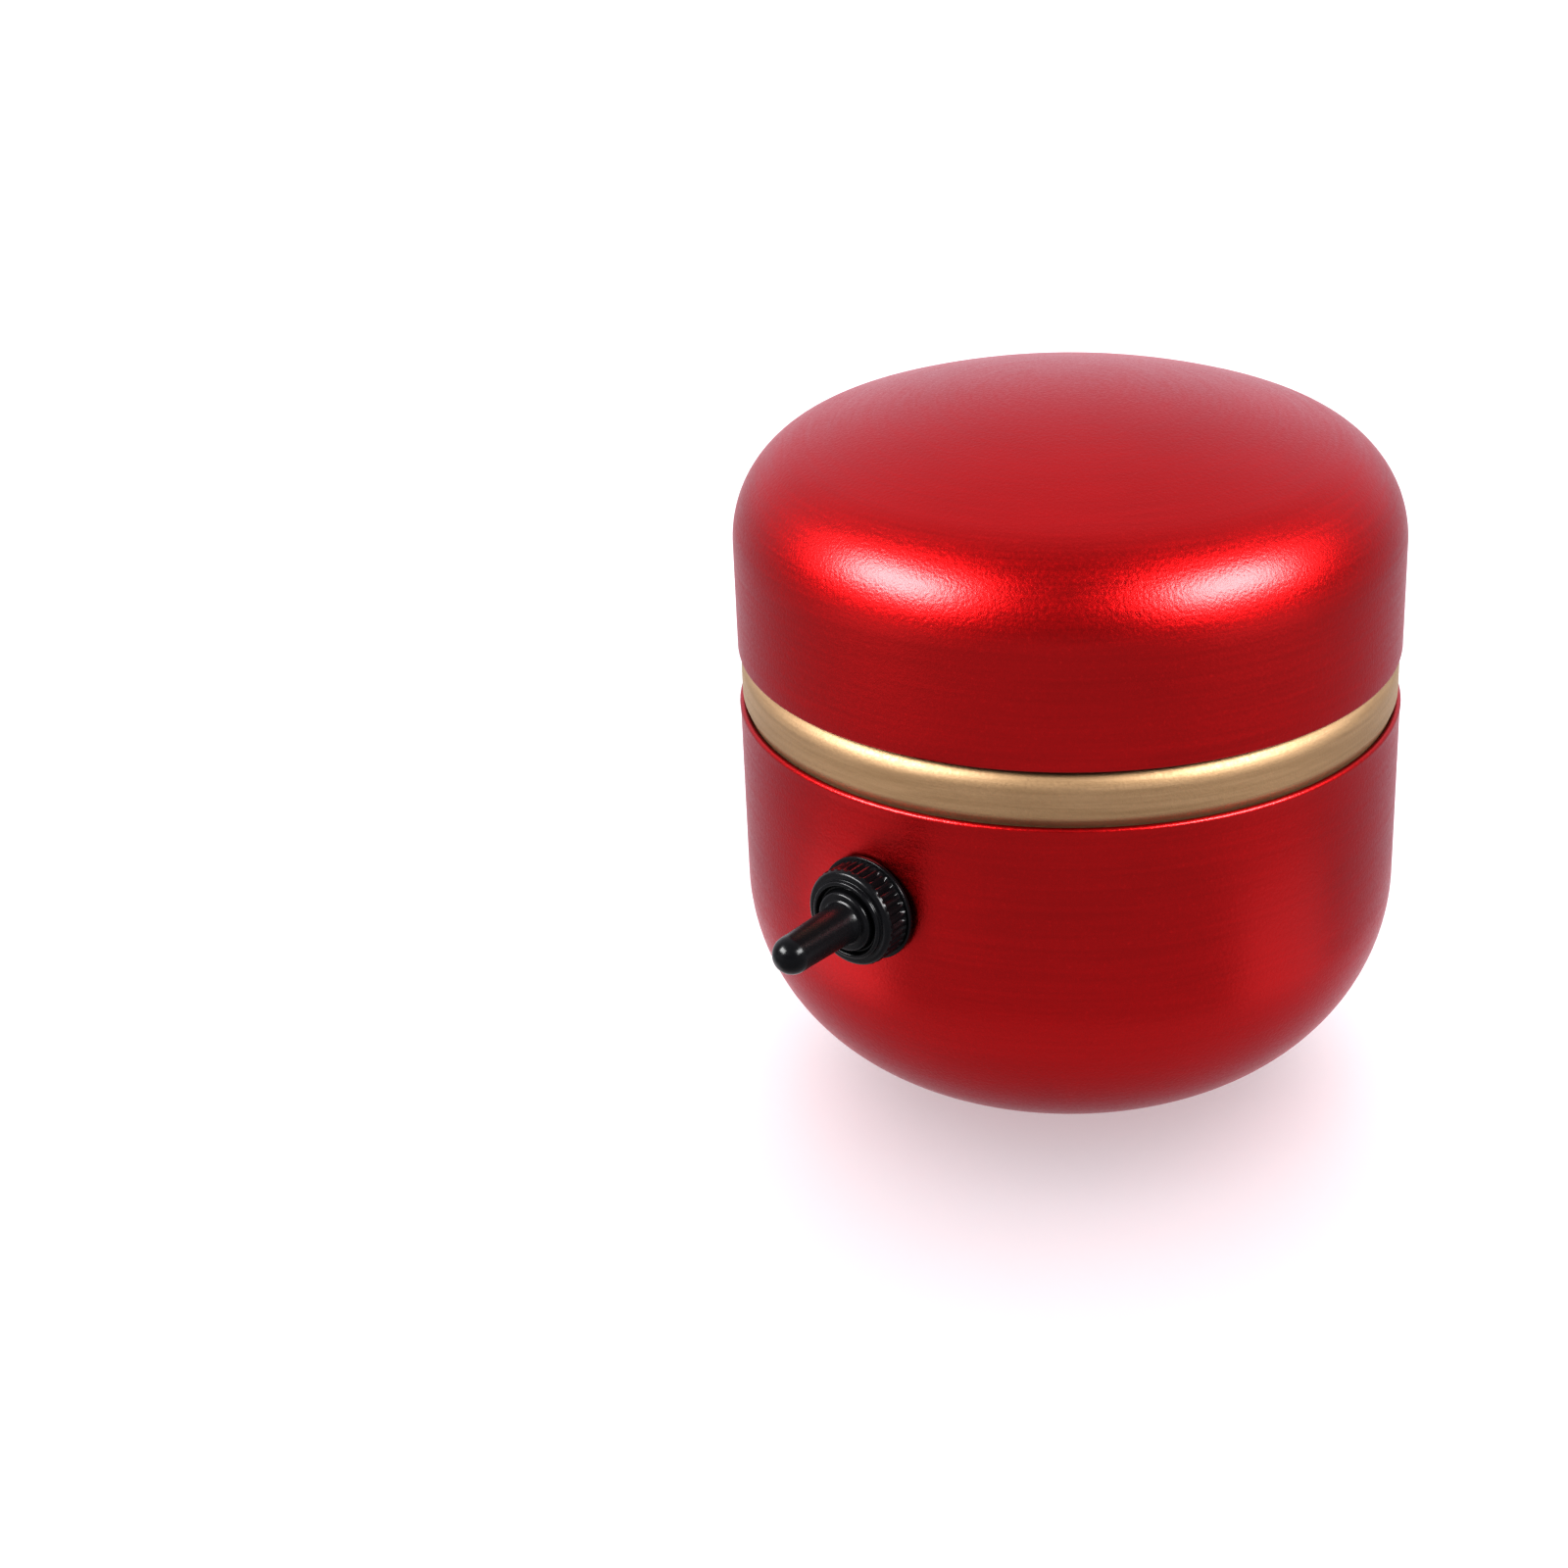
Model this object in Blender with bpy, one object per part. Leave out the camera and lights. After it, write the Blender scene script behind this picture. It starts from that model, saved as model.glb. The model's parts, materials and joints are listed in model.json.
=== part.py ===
"""Mini electric pottery wheel housed in a round metal tin.

A domed lid lifts off a round-bottomed can.  Under it a small wheel head turns in a
splash pan, driven directly by an upright DC motor.  A three-position toggle switch
(forward, off, reverse) with a rubber boot sits in the front of the can, and a DC
socket in the back.

Metres, +Z up.  The origin is the centre of the foot's underside.  The switch faces -Y.
"""

import math

import bmesh
import bpy
from mathutils import Matrix, Vector

MM = 0.001

# ---- fits -------------------------------------------------------------------------
TOUCH_GAP = 0.30 * MM          # between two pieces that rest on each other
SEAT_FIT = 0.10 * MM           # radial, between pieces pushed into each other
RUNNING_FIT = 0.05 * MM        # radial, between a shaft and its bush
CUT_OVER = 1.0 * MM            # how far a cutting shape reaches past the piece it cuts

# ---- tin --------------------------------------------------------------------------
TIN_RADIUS = 45.0 * MM
SHEET = 0.8 * MM
FOOT_RADIUS = 16.5 * MM
FOOT_THICKNESS = 1.2 * MM
CAN_HEIGHT = 53.0 * MM         # from the can's underside to its rim
CAN_CORNER = 27.0 * MM         # radius of the rounded bottom
RIM_ROLL = 0.5 * MM            # radius of the rolled rim
RIM_PROUD = 0.1 * MM           # how far the rolled rim stands out from the side
LID_GAP = 7.6 * MM             # from the can's rim to the lid's edge
LID_WALL = 15.0 * MM           # straight part of the lid's side
LID_SHOULDER = 14.1 * MM
LID_DOME = 102.7 * MM          # radius of the dome's top
BAND_RECESS = 0.2 * MM         # how far the gold band stays inside the tin's side
BAND_LIFT = 0.25 * MM          # from the can's rim up to the band's underside
BAND_FOOT_ROUND = 0.45 * MM
BAND_ROUND = 3.1 * MM          # rounded top of the band, which runs up behind the lid's edge
BAND_TUCK = 2.6 * MM           # from the lid's edge down to where the band starts to round
COLLAR_DEPTH = 7.2 * MM        # skirt inside the can
COLLAR_SLOPE = 1.2 * MM        # height of the slopes from skirt and neck to the waist
WAIST_DEPTH = 1.6 * MM         # from the rim down to the foot of the waist
NECK_INSET = 0.9 * MM          # from the lid's edge up to the end of the waist
COLLAR_RISE = 12.5 * MM        # top of the collar above the rim
WAIST_INSET = 2.7 * MM         # groove above and below the band, from the tin's side
COLLAR_SHEET = 1.0 * MM
LEDGE_WIDTH = 7.6 * MM
LEDGE_THICKNESS = 1.2 * MM
LEDGE_MARGIN = 0.5 * MM        # between the pan's screw heads and its wall
GASKET_HEIGHT = 2.0 * MM

# ---- splash pan -------------------------------------------------------------------
PAN_SHEET = 1.2 * MM
PAN_WALL = 1.0 * MM
PAN_CHAMFER = 1.0 * MM
PAN_HEIGHT = 14.7 * MM
TOWER_ROOM = 0.7 * MM          # between the motor's screw heads and the tower
TOWER_HEIGHT = 6.5 * MM        # above the pan's floor
PAN_SCREWS = 3
PAN_SCREW_RADIUS = 1.0 * MM
PAN_SCREW_HEAD = 1.9 * MM
PAN_SCREW_HEAD_HEIGHT = 1.2 * MM
PAN_SCREW_LENGTH = 3.6 * MM

# ---- motor ------------------------------------------------------------------------
MOTOR_RADIUS = 13.85 * MM
MOTOR_SHEET = 0.8 * MM
MOTOR_CAN_LENGTH = 35.5 * MM
MOTOR_BOSS_RADIUS = 5.0 * MM
MOTOR_BOSS_HEIGHT = 1.6 * MM
SHAFT_RADIUS = 1.15 * MM
SHAFT_STICKOUT = 12.5 * MM
SHAFT_CHAMFER = 0.3 * MM
SHAFT_INSET = 0.6 * MM         # shaft's lower end inside the end cap
BUSH_RADIUS = 3.0 * MM
BUSH_LENGTH = 3.4 * MM
END_CAP_THICKNESS = 2.0 * MM
END_CAP_PLUG = 2.3 * MM
MAGNET_THICKNESS = 3.0 * MM
MAGNET_LENGTH = 24.0 * MM
MAGNET_SPAN = math.radians(136)
AIR_GAP = 0.5 * MM
ROTOR_POLES = 3
ROTOR_LENGTH = 19.0 * MM
POLE_NECK = 3.0 * MM
COIL_THICKNESS = 1.4 * MM
COMMUTATOR_RADIUS = 3.6 * MM
COMMUTATOR_LENGTH = 4.0 * MM
MOTOR_CAN_CHAMFER = 0.6 * MM
MAGNET_INSET = 3.2 * MM        # from the can's inner end to the magnets
BUSH_INSET = 0.2 * MM
POLE_SHOE = 1.4 * MM
POLE_SHOE_SPAN = math.radians(100)
ROTOR_HUB = 2.0 * MM           # iron round the shaft
COIL_MARGIN = 0.9 * MM         # between a winding and the rotor's hub
COIL_SHOE_MARGIN = 1.6 * MM    # between a winding and its pole's shoe
COMMUTATOR_GAP = 1.0 * MM      # between the end cap and the commutator
BRUSH_INSET = 0.6 * MM         # brush narrower than the commutator at each end
BRUSH_LENGTH = 2.6 * MM
BRUSH_HALF_WIDTH = 1.2 * MM
BRUSH_ARM_HALF = 0.3 * MM
MOTOR_TAB_THICKNESS = 0.6 * MM
MOTOR_TAB_WIDTH = 2.8 * MM
MOTOR_TAB_LENGTH = 3.5 * MM    # outside the end cap
MOTOR_TAB_RADIUS = 9.5 * MM
MOTOR_SCREW_CIRCLE = 8.0 * MM
MOTOR_SCREW_RADIUS = 1.5 * MM
MOTOR_SCREW_HEAD = 2.6 * MM
MOTOR_SCREW_HEAD_HEIGHT = 1.6 * MM
MOTOR_SCREW_LENGTH = 4.2 * MM

# ---- wheel ------------------------------------------------------------------------
WHEEL_RADIUS = 32.5 * MM
WHEEL_THICKNESS = 4.0 * MM
WHEEL_CHAMFER = 0.8 * MM
WHEEL_ABOVE_RIM = 13.5 * MM    # working surface above the can's rim
GROOVE_DEPTH = 0.3 * MM
GROOVES = (8.0 * MM, 16.0 * MM, 24.0 * MM)
HUB_RADIUS = 5.0 * MM
HUB_FLANGE = 1.7 * MM
HUB_CLEARANCE = 1.2 * MM       # between the motor's boss and the hub
HUB_BORE_ROOM = 0.3 * MM       # above the shaft's end
SKIRT_GAP = 1.7 * MM           # between the tower and the hub's skirt
SKIRT_WALL = 1.3 * MM
SKIRT_OVERLAP = 3.0 * MM       # how far the skirt hangs down over the tower
WHEEL_SCREWS = 3
WHEEL_SCREW_RADIUS = 1.0 * MM
WHEEL_SCREW_HEAD = 1.9 * MM
WHEEL_SCREW_HEAD_HEIGHT = 1.1 * MM
WHEEL_SCREW_CIRCLE = 9.6 * MM
WHEEL_SINK_DEPTH = 1.6 * MM    # counterbore for the screw's head
SET_SCREW_RADIUS = 1.25 * MM
SET_SCREW_SOCKET = 0.6 * MM
SET_SCREW_INSET = 0.2 * MM     # screw's end inside the hub

# ---- toggle switch ----------------------------------------------------------------
SWITCH_DROP = 14.7 * MM        # from the can's rim down to the switch's axis
SWITCH_HOLE = 3.1 * MM
BUSHING_RADIUS = 3.0 * MM
BUSHING_BORE = 2.35 * MM
BUSHING_OUT = 4.3 * MM         # bushing beyond the can's side
PIVOT_OUT = 1.5 * MM
LEVER_BALL = 2.2 * MM
LEVER_RADIUS = 1.3 * MM
LEVER_OUT = 14.8 * MM
LEVER_TAIL = 9.0 * MM
LEVER_TAIL_RADIUS = 0.7 * MM
CASE_WIDTH = 11.4 * MM
CASE_HEIGHT = 13.2 * MM
CASE_DEPTH = 9.2 * MM
CASE_WALL = 1.2 * MM
COVER_THICKNESS = 0.8 * MM
SWITCH_NUT_FLATS = 8.0 * MM
SWITCH_NUT_HEIGHT = 1.8 * MM
WASHER_RADIUS = 4.4 * MM
WASHER_THICKNESS = 0.4 * MM
PIN_PITCH_ACROSS = 4.8 * MM
PIN_PITCH_UP = 4.7 * MM
PIN_WIDTH = 0.8 * MM
PIN_HEIGHT = 1.2 * MM
PIN_LENGTH = 4.0 * MM          # outside the case
PIN_INSIDE = 0.8 * MM          # past the case's back wall
INSERT_FLATS = 8.0 * MM
INSERT_HEIGHT = 2.4 * MM
INSERT_LIFT = 0.2 * MM         # between the boot's foot and its brass insert
BOOT_FLANGE_RADIUS = 7.0 * MM
BOOT_FLANGE_HEIGHT = 0.7 * MM
BOOT_BAND_RADIUS = 6.5 * MM
BOOT_BAND_HEIGHT = 3.0 * MM
BOOT_SHOULDER = 1.3 * MM
BOOT_MOUTH = 4.6 * MM
BOOT_RIBS = 30
RIB_DEPTH = 0.35 * MM
SLEEVE_BULGE = 3.7 * MM
SLEEVE_BULGE_RISE = 0.6 * MM
SLEEVE_NECK_RISE = 0.9 * MM
SLEEVE_RADIUS = 2.5 * MM
SLEEVE_OUT = 18.0 * MM
SLEEVE_WALL = 0.9 * MM

# ---- DC socket --------------------------------------------------------------------
JACK_DROP = 16.5 * MM
JACK_RADIUS = 3.9 * MM
JACK_FLANGE_RADIUS = 5.6 * MM
JACK_FLANGE = 1.6 * MM
JACK_LENGTH = 11.0 * MM        # inside the can's side
JACK_BORE = 2.85 * MM
JACK_BORE_DEPTH = 9.5 * MM
JACK_PIN_RADIUS = 1.05 * MM
JACK_NUT_FLATS = 11.0 * MM
JACK_NUT_HEIGHT = 2.0 * MM
JACK_PIN_INSET = 0.9 * MM      # pin's tip behind the socket's face
JACK_PIN_TAPER = 0.5 * MM
JACK_TAB_THICKNESS = 0.5 * MM
JACK_TAB_WIDTH = 2.2 * MM
JACK_TAB_LENGTH = 4.0 * MM
JACK_TAB_SPACING = 2.2 * MM    # from the socket's axis

# ---- wires ------------------------------------------------------------------------
WIRE_RADIUS = 0.6 * MM
WIRE_POINTS = 22

# ---- roundness --------------------------------------------------------------------
LARGE_STEPS = 40
MIDDLE_STEPS = 28
SMALL_STEPS = 20
TINY_STEPS = 10

# ---- heights worked out from the values above ---------------------------------------
CAN_BASE_Z = FOOT_THICKNESS + TOUCH_GAP
RIM_Z = CAN_BASE_Z + CAN_HEIGHT
LID_EDGE_Z = RIM_Z + LID_GAP
CAN_INNER = TIN_RADIUS - SHEET
COLLAR_OUTER = CAN_INNER - SEAT_FIT
COLLAR_WAIST = TIN_RADIUS - WAIST_INSET
COLLAR_INNER = COLLAR_WAIST - COLLAR_SHEET
COLLAR_BOTTOM_Z = RIM_Z - COLLAR_DEPTH
COLLAR_TOP_Z = RIM_Z + COLLAR_RISE
LEDGE_TOP_Z = COLLAR_BOTTOM_Z + LEDGE_THICKNESS
LEDGE_INNER = COLLAR_OUTER - COLLAR_SHEET - LEDGE_WIDTH
PAN_BOTTOM_Z = LEDGE_TOP_Z + TOUCH_GAP
PAN_FLOOR_Z = PAN_BOTTOM_Z + PAN_SHEET
PAN_RADIUS = COLLAR_INNER - TOUCH_GAP
PAN_TOP_Z = PAN_BOTTOM_Z + PAN_HEIGHT
PAN_SCREW_CIRCLE = PAN_RADIUS - PAN_WALL - PAN_SCREW_HEAD - LEDGE_MARGIN
TOWER_TOP_Z = PAN_FLOOR_Z + TOWER_HEIGHT
TOWER_INNER = MOTOR_SCREW_CIRCLE + MOTOR_SCREW_HEAD + TOWER_ROOM
TOWER_RADIUS = TOWER_INNER + PAN_SHEET
MOTOR_TOP_Z = PAN_BOTTOM_Z - TOUCH_GAP
MOTOR_OPEN_Z = MOTOR_TOP_Z - MOTOR_CAN_LENGTH
MOTOR_INNER = MOTOR_RADIUS - MOTOR_SHEET
END_CAP_TOP_Z = MOTOR_OPEN_Z - TOUCH_GAP
END_CAP_BOTTOM_Z = END_CAP_TOP_Z - END_CAP_THICKNESS
SHAFT_TOP_Z = MOTOR_TOP_Z + SHAFT_STICKOUT
ROTOR_RADIUS = MOTOR_INNER - SEAT_FIT - MAGNET_THICKNESS - AIR_GAP
MAGNET_TOP_Z = MOTOR_TOP_Z - MOTOR_SHEET - MAGNET_INSET
ROTOR_TOP_Z = MAGNET_TOP_Z - (MAGNET_LENGTH - ROTOR_LENGTH) / 2
COMMUTATOR_Z = END_CAP_TOP_Z + END_CAP_PLUG + COMMUTATOR_GAP
WHEEL_TOP_Z = RIM_Z + WHEEL_ABOVE_RIM
WHEEL_BOTTOM_Z = WHEEL_TOP_Z - WHEEL_THICKNESS
FLANGE_TOP_Z = WHEEL_BOTTOM_Z - TOUCH_GAP
FLANGE_BOTTOM_Z = FLANGE_TOP_Z - HUB_FLANGE
SKIRT_INNER = TOWER_RADIUS + SKIRT_GAP
SKIRT_OUTER = SKIRT_INNER + SKIRT_WALL
SKIRT_BOTTOM_Z = TOWER_TOP_Z - SKIRT_OVERLAP
HUB_BOTTOM_Z = MOTOR_TOP_Z + MOTOR_BOSS_HEIGHT + HUB_CLEARANCE
SET_SCREW_Z = (TOWER_TOP_Z + SHAFT_TOP_Z) / 2
SWITCH_Z = RIM_Z - SWITCH_DROP
JACK_Z = RIM_Z - JACK_DROP


# ---- shared shapes ------------------------------------------------------------------
def new_material(name, colour, roughness, metallic):
    """A plain finish: colour, roughness and metallic value."""
    finish = bpy.data.materials.new(name)
    finish.use_nodes = True
    shader = finish.node_tree.nodes["Principled BSDF"]
    shader.inputs["Base Color"].default_value = (*colour, 1.0)
    shader.inputs["Roughness"].default_value = roughness
    shader.inputs["Metallic"].default_value = metallic
    return finish


def arc(centre, radius, start, end, steps):
    """Points (radius, height) along a circular arc, angles in degrees."""
    points = []
    for step in range(steps + 1):
        angle = math.radians(start + (end - start) * step / steps)
        r = centre[0] + radius * math.cos(angle)
        z = centre[1] + radius * math.sin(angle)
        points.append((r, z))
    return points


def add_object(name, bm, finish, parent=None, location=(0, 0, 0), rotation=(0, 0, 0)):
    """Turn a bmesh into a named object with outward faces and one material."""
    bmesh.ops.recalc_face_normals(bm, faces=bm.faces)
    mesh = bpy.data.meshes.new(name)
    bm.to_mesh(mesh)
    bm.free()
    mesh.shade_smooth()
    mesh.set_sharp_from_angle(angle=math.radians(35))
    return add_mesh(name, mesh, finish, parent, location, rotation)


def add_mesh(name, mesh, finish, parent=None, location=(0, 0, 0), rotation=(0, 0, 0)):
    """Place a mesh as a named object; copies of a piece share one mesh."""
    if finish is not None and not mesh.materials:
        mesh.materials.append(finish)
    piece = bpy.data.objects.new(name, mesh)
    piece.parent = parent
    piece.location = location
    piece.rotation_euler = rotation
    bpy.context.scene.collection.objects.link(piece)
    return piece


def add_empty(name, location, rotation=(0, 0, 0)):
    """An empty that carries the pieces of one sub-assembly."""
    empty = bpy.data.objects.new(name, None)
    empty.location = location
    empty.rotation_euler = rotation
    bpy.context.scene.collection.objects.link(empty)
    return empty


def spun(profile, steps):
    """Spin a profile of (radius, height) points about Z.

    A profile whose two ends lie on the axis makes a solid; any other is closed
    on itself and makes a ring.
    """
    bm = bmesh.new()
    verts = [bm.verts.new((r, 0.0, z)) for r, z in profile]
    edges = [bm.edges.new(pair) for pair in zip(verts, verts[1:])]
    on_axis = profile[0][0] == 0.0 and profile[-1][0] == 0.0
    if not on_axis:
        edges.append(bm.edges.new((verts[-1], verts[0])))
    bmesh.ops.spin(bm, geom=verts + edges, cent=(0, 0, 0), axis=(0, 0, 1),
                   angle=2 * math.pi, steps=steps, use_merge=True)
    bmesh.ops.remove_doubles(bm, verts=bm.verts, dist=1e-6)
    return bm


def turned(name, profile, finish, steps=SMALL_STEPS, **place):
    return add_object(name, spun(profile, steps), finish, **place)


def washer_profile(inner, outer, low, high):
    return [(inner, low), (outer, low), (outer, high), (inner, high)]


def add_box(bm, low, high):
    """Add one closed box to a bmesh, between two corners."""
    size = [b - a for a, b in zip(low, high)]
    middle = [(a + b) / 2 for a, b in zip(low, high)]
    made = bmesh.ops.create_cube(bm, size=1.0)
    bmesh.ops.scale(bm, vec=size, verts=made["verts"])
    bmesh.ops.translate(bm, vec=middle, verts=made["verts"])


def add_cylinder(bm, radius, low, high, steps, centre=(0, 0), turn=0.0):
    """Add one closed cylinder or prism along Z to a bmesh."""
    made = bmesh.ops.create_cone(bm, cap_ends=True, segments=steps,
                                 radius1=radius, radius2=radius, depth=high - low)
    bmesh.ops.rotate(bm, verts=made["verts"], cent=(0, 0, 0),
                     matrix=Matrix.Rotation(turn, 3, "Z"))
    bmesh.ops.translate(bm, verts=made["verts"],
                        vec=(centre[0], centre[1], (low + high) / 2))


def box(name, low, high, finish, **place):
    bm = bmesh.new()
    add_box(bm, low, high)
    return add_object(name, bm, finish, **place)


def cutter(name, bm, **place):
    """A hidden shape that another piece is cut with."""
    tool = add_object(name, bm, None, **place)
    tool.hide_render = True
    tool.display_type = "WIRE"
    return tool


def combine(piece, tool, operation="DIFFERENCE"):
    change = piece.modifiers.new(tool.name, "BOOLEAN")
    change.operation = operation
    change.object = tool
    return piece


def extruded(name, outline, low, high, finish, **place):
    """A flat outline of (x, y) points extruded from one height to another."""
    bm = bmesh.new()
    verts = [bm.verts.new((x, y, low)) for x, y in outline]
    face = bm.faces.new(verts)
    made = bmesh.ops.extrude_face_region(bm, geom=[face])
    raised = [item for item in made["geom"] if isinstance(item, bmesh.types.BMVert)]
    bmesh.ops.translate(bm, vec=(0, 0, high - low), verts=raised)
    return add_object(name, bm, finish, **place)


def hex_nut(name, flats, bore, low, high, finish, **place):
    """A hexagonal nut with a smooth bore."""
    nut_bm = bmesh.new()
    add_cylinder(nut_bm, flats / 2 / math.cos(math.radians(30)), low, high, 6,
                 turn=math.radians(30))
    nut = add_object(name, nut_bm, finish, **place)
    hole_bm = bmesh.new()
    add_cylinder(hole_bm, bore, low - 1 * MM, high + 1 * MM, SMALL_STEPS)
    return combine(nut, cutter(name + "_bore", hole_bm, **place))


def screw_profile(shank, head, length, head_height):
    """Half outline of a pan-head screw with a dimple, its head resting on height 0."""
    crown = head - head_height * 0.5
    dimple = head_height * 0.4
    return [
        (0.0, -length),
        (shank * 0.8, -length),
        (shank, -length + shank * 0.3),
        (shank, 0.0),
        (head, 0.0),
        (head, head_height * 0.5),
        (crown, head_height),
        (head * 0.35, head_height),
        (0.0, head_height - dimple),
    ]


def on_circle(radius, angle):
    return (radius * math.cos(angle), radius * math.sin(angle))


def round_the_axis(radius, start, count):
    """Evenly spaced places on a circle, the first at an angle in degrees."""
    return [on_circle(radius, math.radians(start) + 2 * math.pi * i / count)
            for i in range(count)]


def copies(prefix, bm, finish, places, parent=None, turns=None):
    """Numbered objects that share one mesh, each moved and turned to its place."""
    turns = turns or [0.0] * len(places)
    first = add_object(prefix + "_1", bm, finish, parent, places[0], (0, 0, turns[0]))
    for number in range(1, len(places)):
        add_mesh(prefix + "_" + str(number + 1), first.data, finish, parent,
                 places[number], (0, 0, turns[number]))


# ---- finishes -----------------------------------------------------------------------
RED = new_material("red_anodised", (0.46, 0.012, 0.016), 0.34, 1.0)
GOLD = new_material("gold_anodised", (0.62, 0.42, 0.24), 0.32, 1.0)
BLACK_RUBBER = new_material("black_rubber", (0.012, 0.012, 0.014), 0.45, 0.0)
GASKET_RUBBER = new_material("gasket_rubber", (0.75, 0.74, 0.70), 0.6, 0.0)
PAN_PLASTIC = new_material("pan_plastic", (0.80, 0.79, 0.76), 0.4, 0.0)
ALUMINIUM = new_material("aluminium", (0.78, 0.78, 0.77), 0.3, 1.0)
STEEL = new_material("steel", (0.60, 0.60, 0.58), 0.28, 1.0)
BRASS = new_material("brass", (0.72, 0.50, 0.20), 0.3, 1.0)
COPPER = new_material("copper", (0.80, 0.36, 0.20), 0.35, 1.0)
MAGNET = new_material("ferrite", (0.06, 0.06, 0.06), 0.6, 0.0)
DARK_PLASTIC = new_material("dark_plastic", (0.02, 0.02, 0.02), 0.4, 0.0)
BLUE_PLASTIC = new_material("switch_plastic", (0.02, 0.10, 0.32), 0.4, 0.0)
RED_WIRE = new_material("red_wire", (0.55, 0.02, 0.02), 0.45, 0.0)
BLACK_WIRE = new_material("black_wire", (0.02, 0.02, 0.02), 0.45, 0.0)


# ---- tin ----------------------------------------------------------------------------
def can_profile():
    """Closed outline of the can: rounded bottom, straight side and rolled rim."""
    corner_r = TIN_RADIUS - CAN_CORNER
    corner_z = CAN_BASE_Z + CAN_CORNER
    outside = arc((corner_r, corner_z), CAN_CORNER, -90, 0, 6)
    inside = arc((corner_r, corner_z), CAN_CORNER - SHEET, 0, -90, 5)
    roll_r = TIN_RADIUS + RIM_PROUD - RIM_ROLL
    roll = arc((roll_r, RIM_Z - RIM_ROLL), RIM_ROLL, -60, 90, 3)
    inner_top = [(CAN_INNER, RIM_Z - RIM_ROLL * 0.4)]
    floor = [(0.0, CAN_BASE_Z + SHEET)]
    base = [(0.0, CAN_BASE_Z)]
    return base + outside + roll + inner_top + inside + floor


def lid_profile():
    """Closed outline of the lid: straight side, round shoulder and shallow dome."""
    shoulder_r = TIN_RADIUS - LID_SHOULDER
    shoulder_z = LID_EDGE_Z + LID_WALL
    meet = math.degrees(math.acos(shoulder_r / (LID_DOME - LID_SHOULDER)))
    dome_z = shoulder_z - shoulder_r * math.tan(math.radians(meet))
    outside = arc((shoulder_r, shoulder_z), LID_SHOULDER, 0, meet, 5)
    outside += arc((0.0, dome_z), LID_DOME, meet, 90, 4)[1:-1]
    inside = arc((0.0, dome_z), LID_DOME - SHEET, 90, meet, 3)[1:-1]
    inside += arc((shoulder_r, shoulder_z), LID_SHOULDER - SHEET, meet, 0, 4)
    top_outside = [(0.0, dome_z + LID_DOME)]
    top_inside = [(0.0, dome_z + LID_DOME - SHEET)]
    edge = [(CAN_INNER, LID_EDGE_Z), (TIN_RADIUS, LID_EDGE_Z)]
    return top_inside + inside + edge + outside + top_outside


def collar_profile():
    """Closed outline of the gold collar: skirt, ledge, flat-faced band and neck."""
    face = TIN_RADIUS - BAND_RECESS
    foot_z = RIM_Z + BAND_LIFT
    top_z = LID_EDGE_Z - BAND_TUCK
    skirt_inner = COLLAR_OUTER - COLLAR_SHEET
    lean = math.degrees(math.acos((COLLAR_WAIST - face + BAND_ROUND) / BAND_ROUND))
    foot_centre = (face - BAND_FOOT_ROUND, foot_z + BAND_FOOT_ROUND)
    band = [(COLLAR_WAIST, foot_z)]
    band += arc(foot_centre, BAND_FOOT_ROUND, -90, 0, 2)
    band += arc((face - BAND_ROUND, top_z), BAND_ROUND, 0, lean, 5)
    waist_low = RIM_Z - WAIST_DEPTH
    waist_high = LID_EDGE_Z + NECK_INSET
    return (
        [(LEDGE_INNER, COLLAR_BOTTOM_Z), (COLLAR_OUTER, COLLAR_BOTTOM_Z)]
        + [(COLLAR_OUTER, waist_low - COLLAR_SLOPE), (COLLAR_WAIST, waist_low)]
        + band
        + [(COLLAR_WAIST, waist_high), (COLLAR_OUTER, waist_high + COLLAR_SLOPE)]
        + [(COLLAR_OUTER, COLLAR_TOP_Z), (COLLAR_INNER, COLLAR_TOP_Z)]
        + [(COLLAR_INNER, waist_low - COLLAR_SHEET / 2)]
        + [(skirt_inner, waist_low - COLLAR_SLOPE - COLLAR_SHEET)]
        + [(skirt_inner, LEDGE_TOP_Z), (LEDGE_INNER, LEDGE_TOP_Z)]
    )


def make_tin():
    turned("foot_pad", [(0.0, 0.0), (FOOT_RADIUS, 0.0), (FOOT_RADIUS, FOOT_THICKNESS),
                        (0.0, FOOT_THICKNESS)], BLACK_RUBBER, LARGE_STEPS)
    can = turned("body_shell", can_profile(), RED, LARGE_STEPS)
    for name, radius, height, turn in (
        ("switch_hole", SWITCH_HOLE, SWITCH_Z, 0.0),
        ("jack_hole", JACK_RADIUS + SEAT_FIT, JACK_Z, math.pi),
    ):
        hole = bmesh.new()
        add_cylinder(hole, radius, TIN_RADIUS - 5 * MM, TIN_RADIUS + 5 * MM, SMALL_STEPS)
        combine(can, cutter(name, hole, location=(0, 0, height),
                            rotation=(math.pi / 2, 0, turn)))
    collar = turned("gold_collar", collar_profile(), GOLD, LARGE_STEPS)
    combine(collar, cutter("ledge_bores", screw_bores(PAN_SCREW_RADIUS + SEAT_FIT)))
    turned("lid_shell", lid_profile(), RED, LARGE_STEPS)
    gasket_low = COLLAR_TOP_Z + TOUCH_GAP
    turned("lid_gasket", washer_profile(COLLAR_INNER, CAN_INNER - SEAT_FIT, gasket_low,
                                        gasket_low + GASKET_HEIGHT),
           GASKET_RUBBER, LARGE_STEPS)


# ---- splash pan ---------------------------------------------------------------------
def pan_screw_places():
    """Where the pan is screwed to the collar's ledge, clear of the switch."""
    return round_the_axis(PAN_SCREW_CIRCLE, 90, PAN_SCREWS)


def motor_screw_places():
    return round_the_axis(MOTOR_SCREW_CIRCLE, 0, 2)


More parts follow.
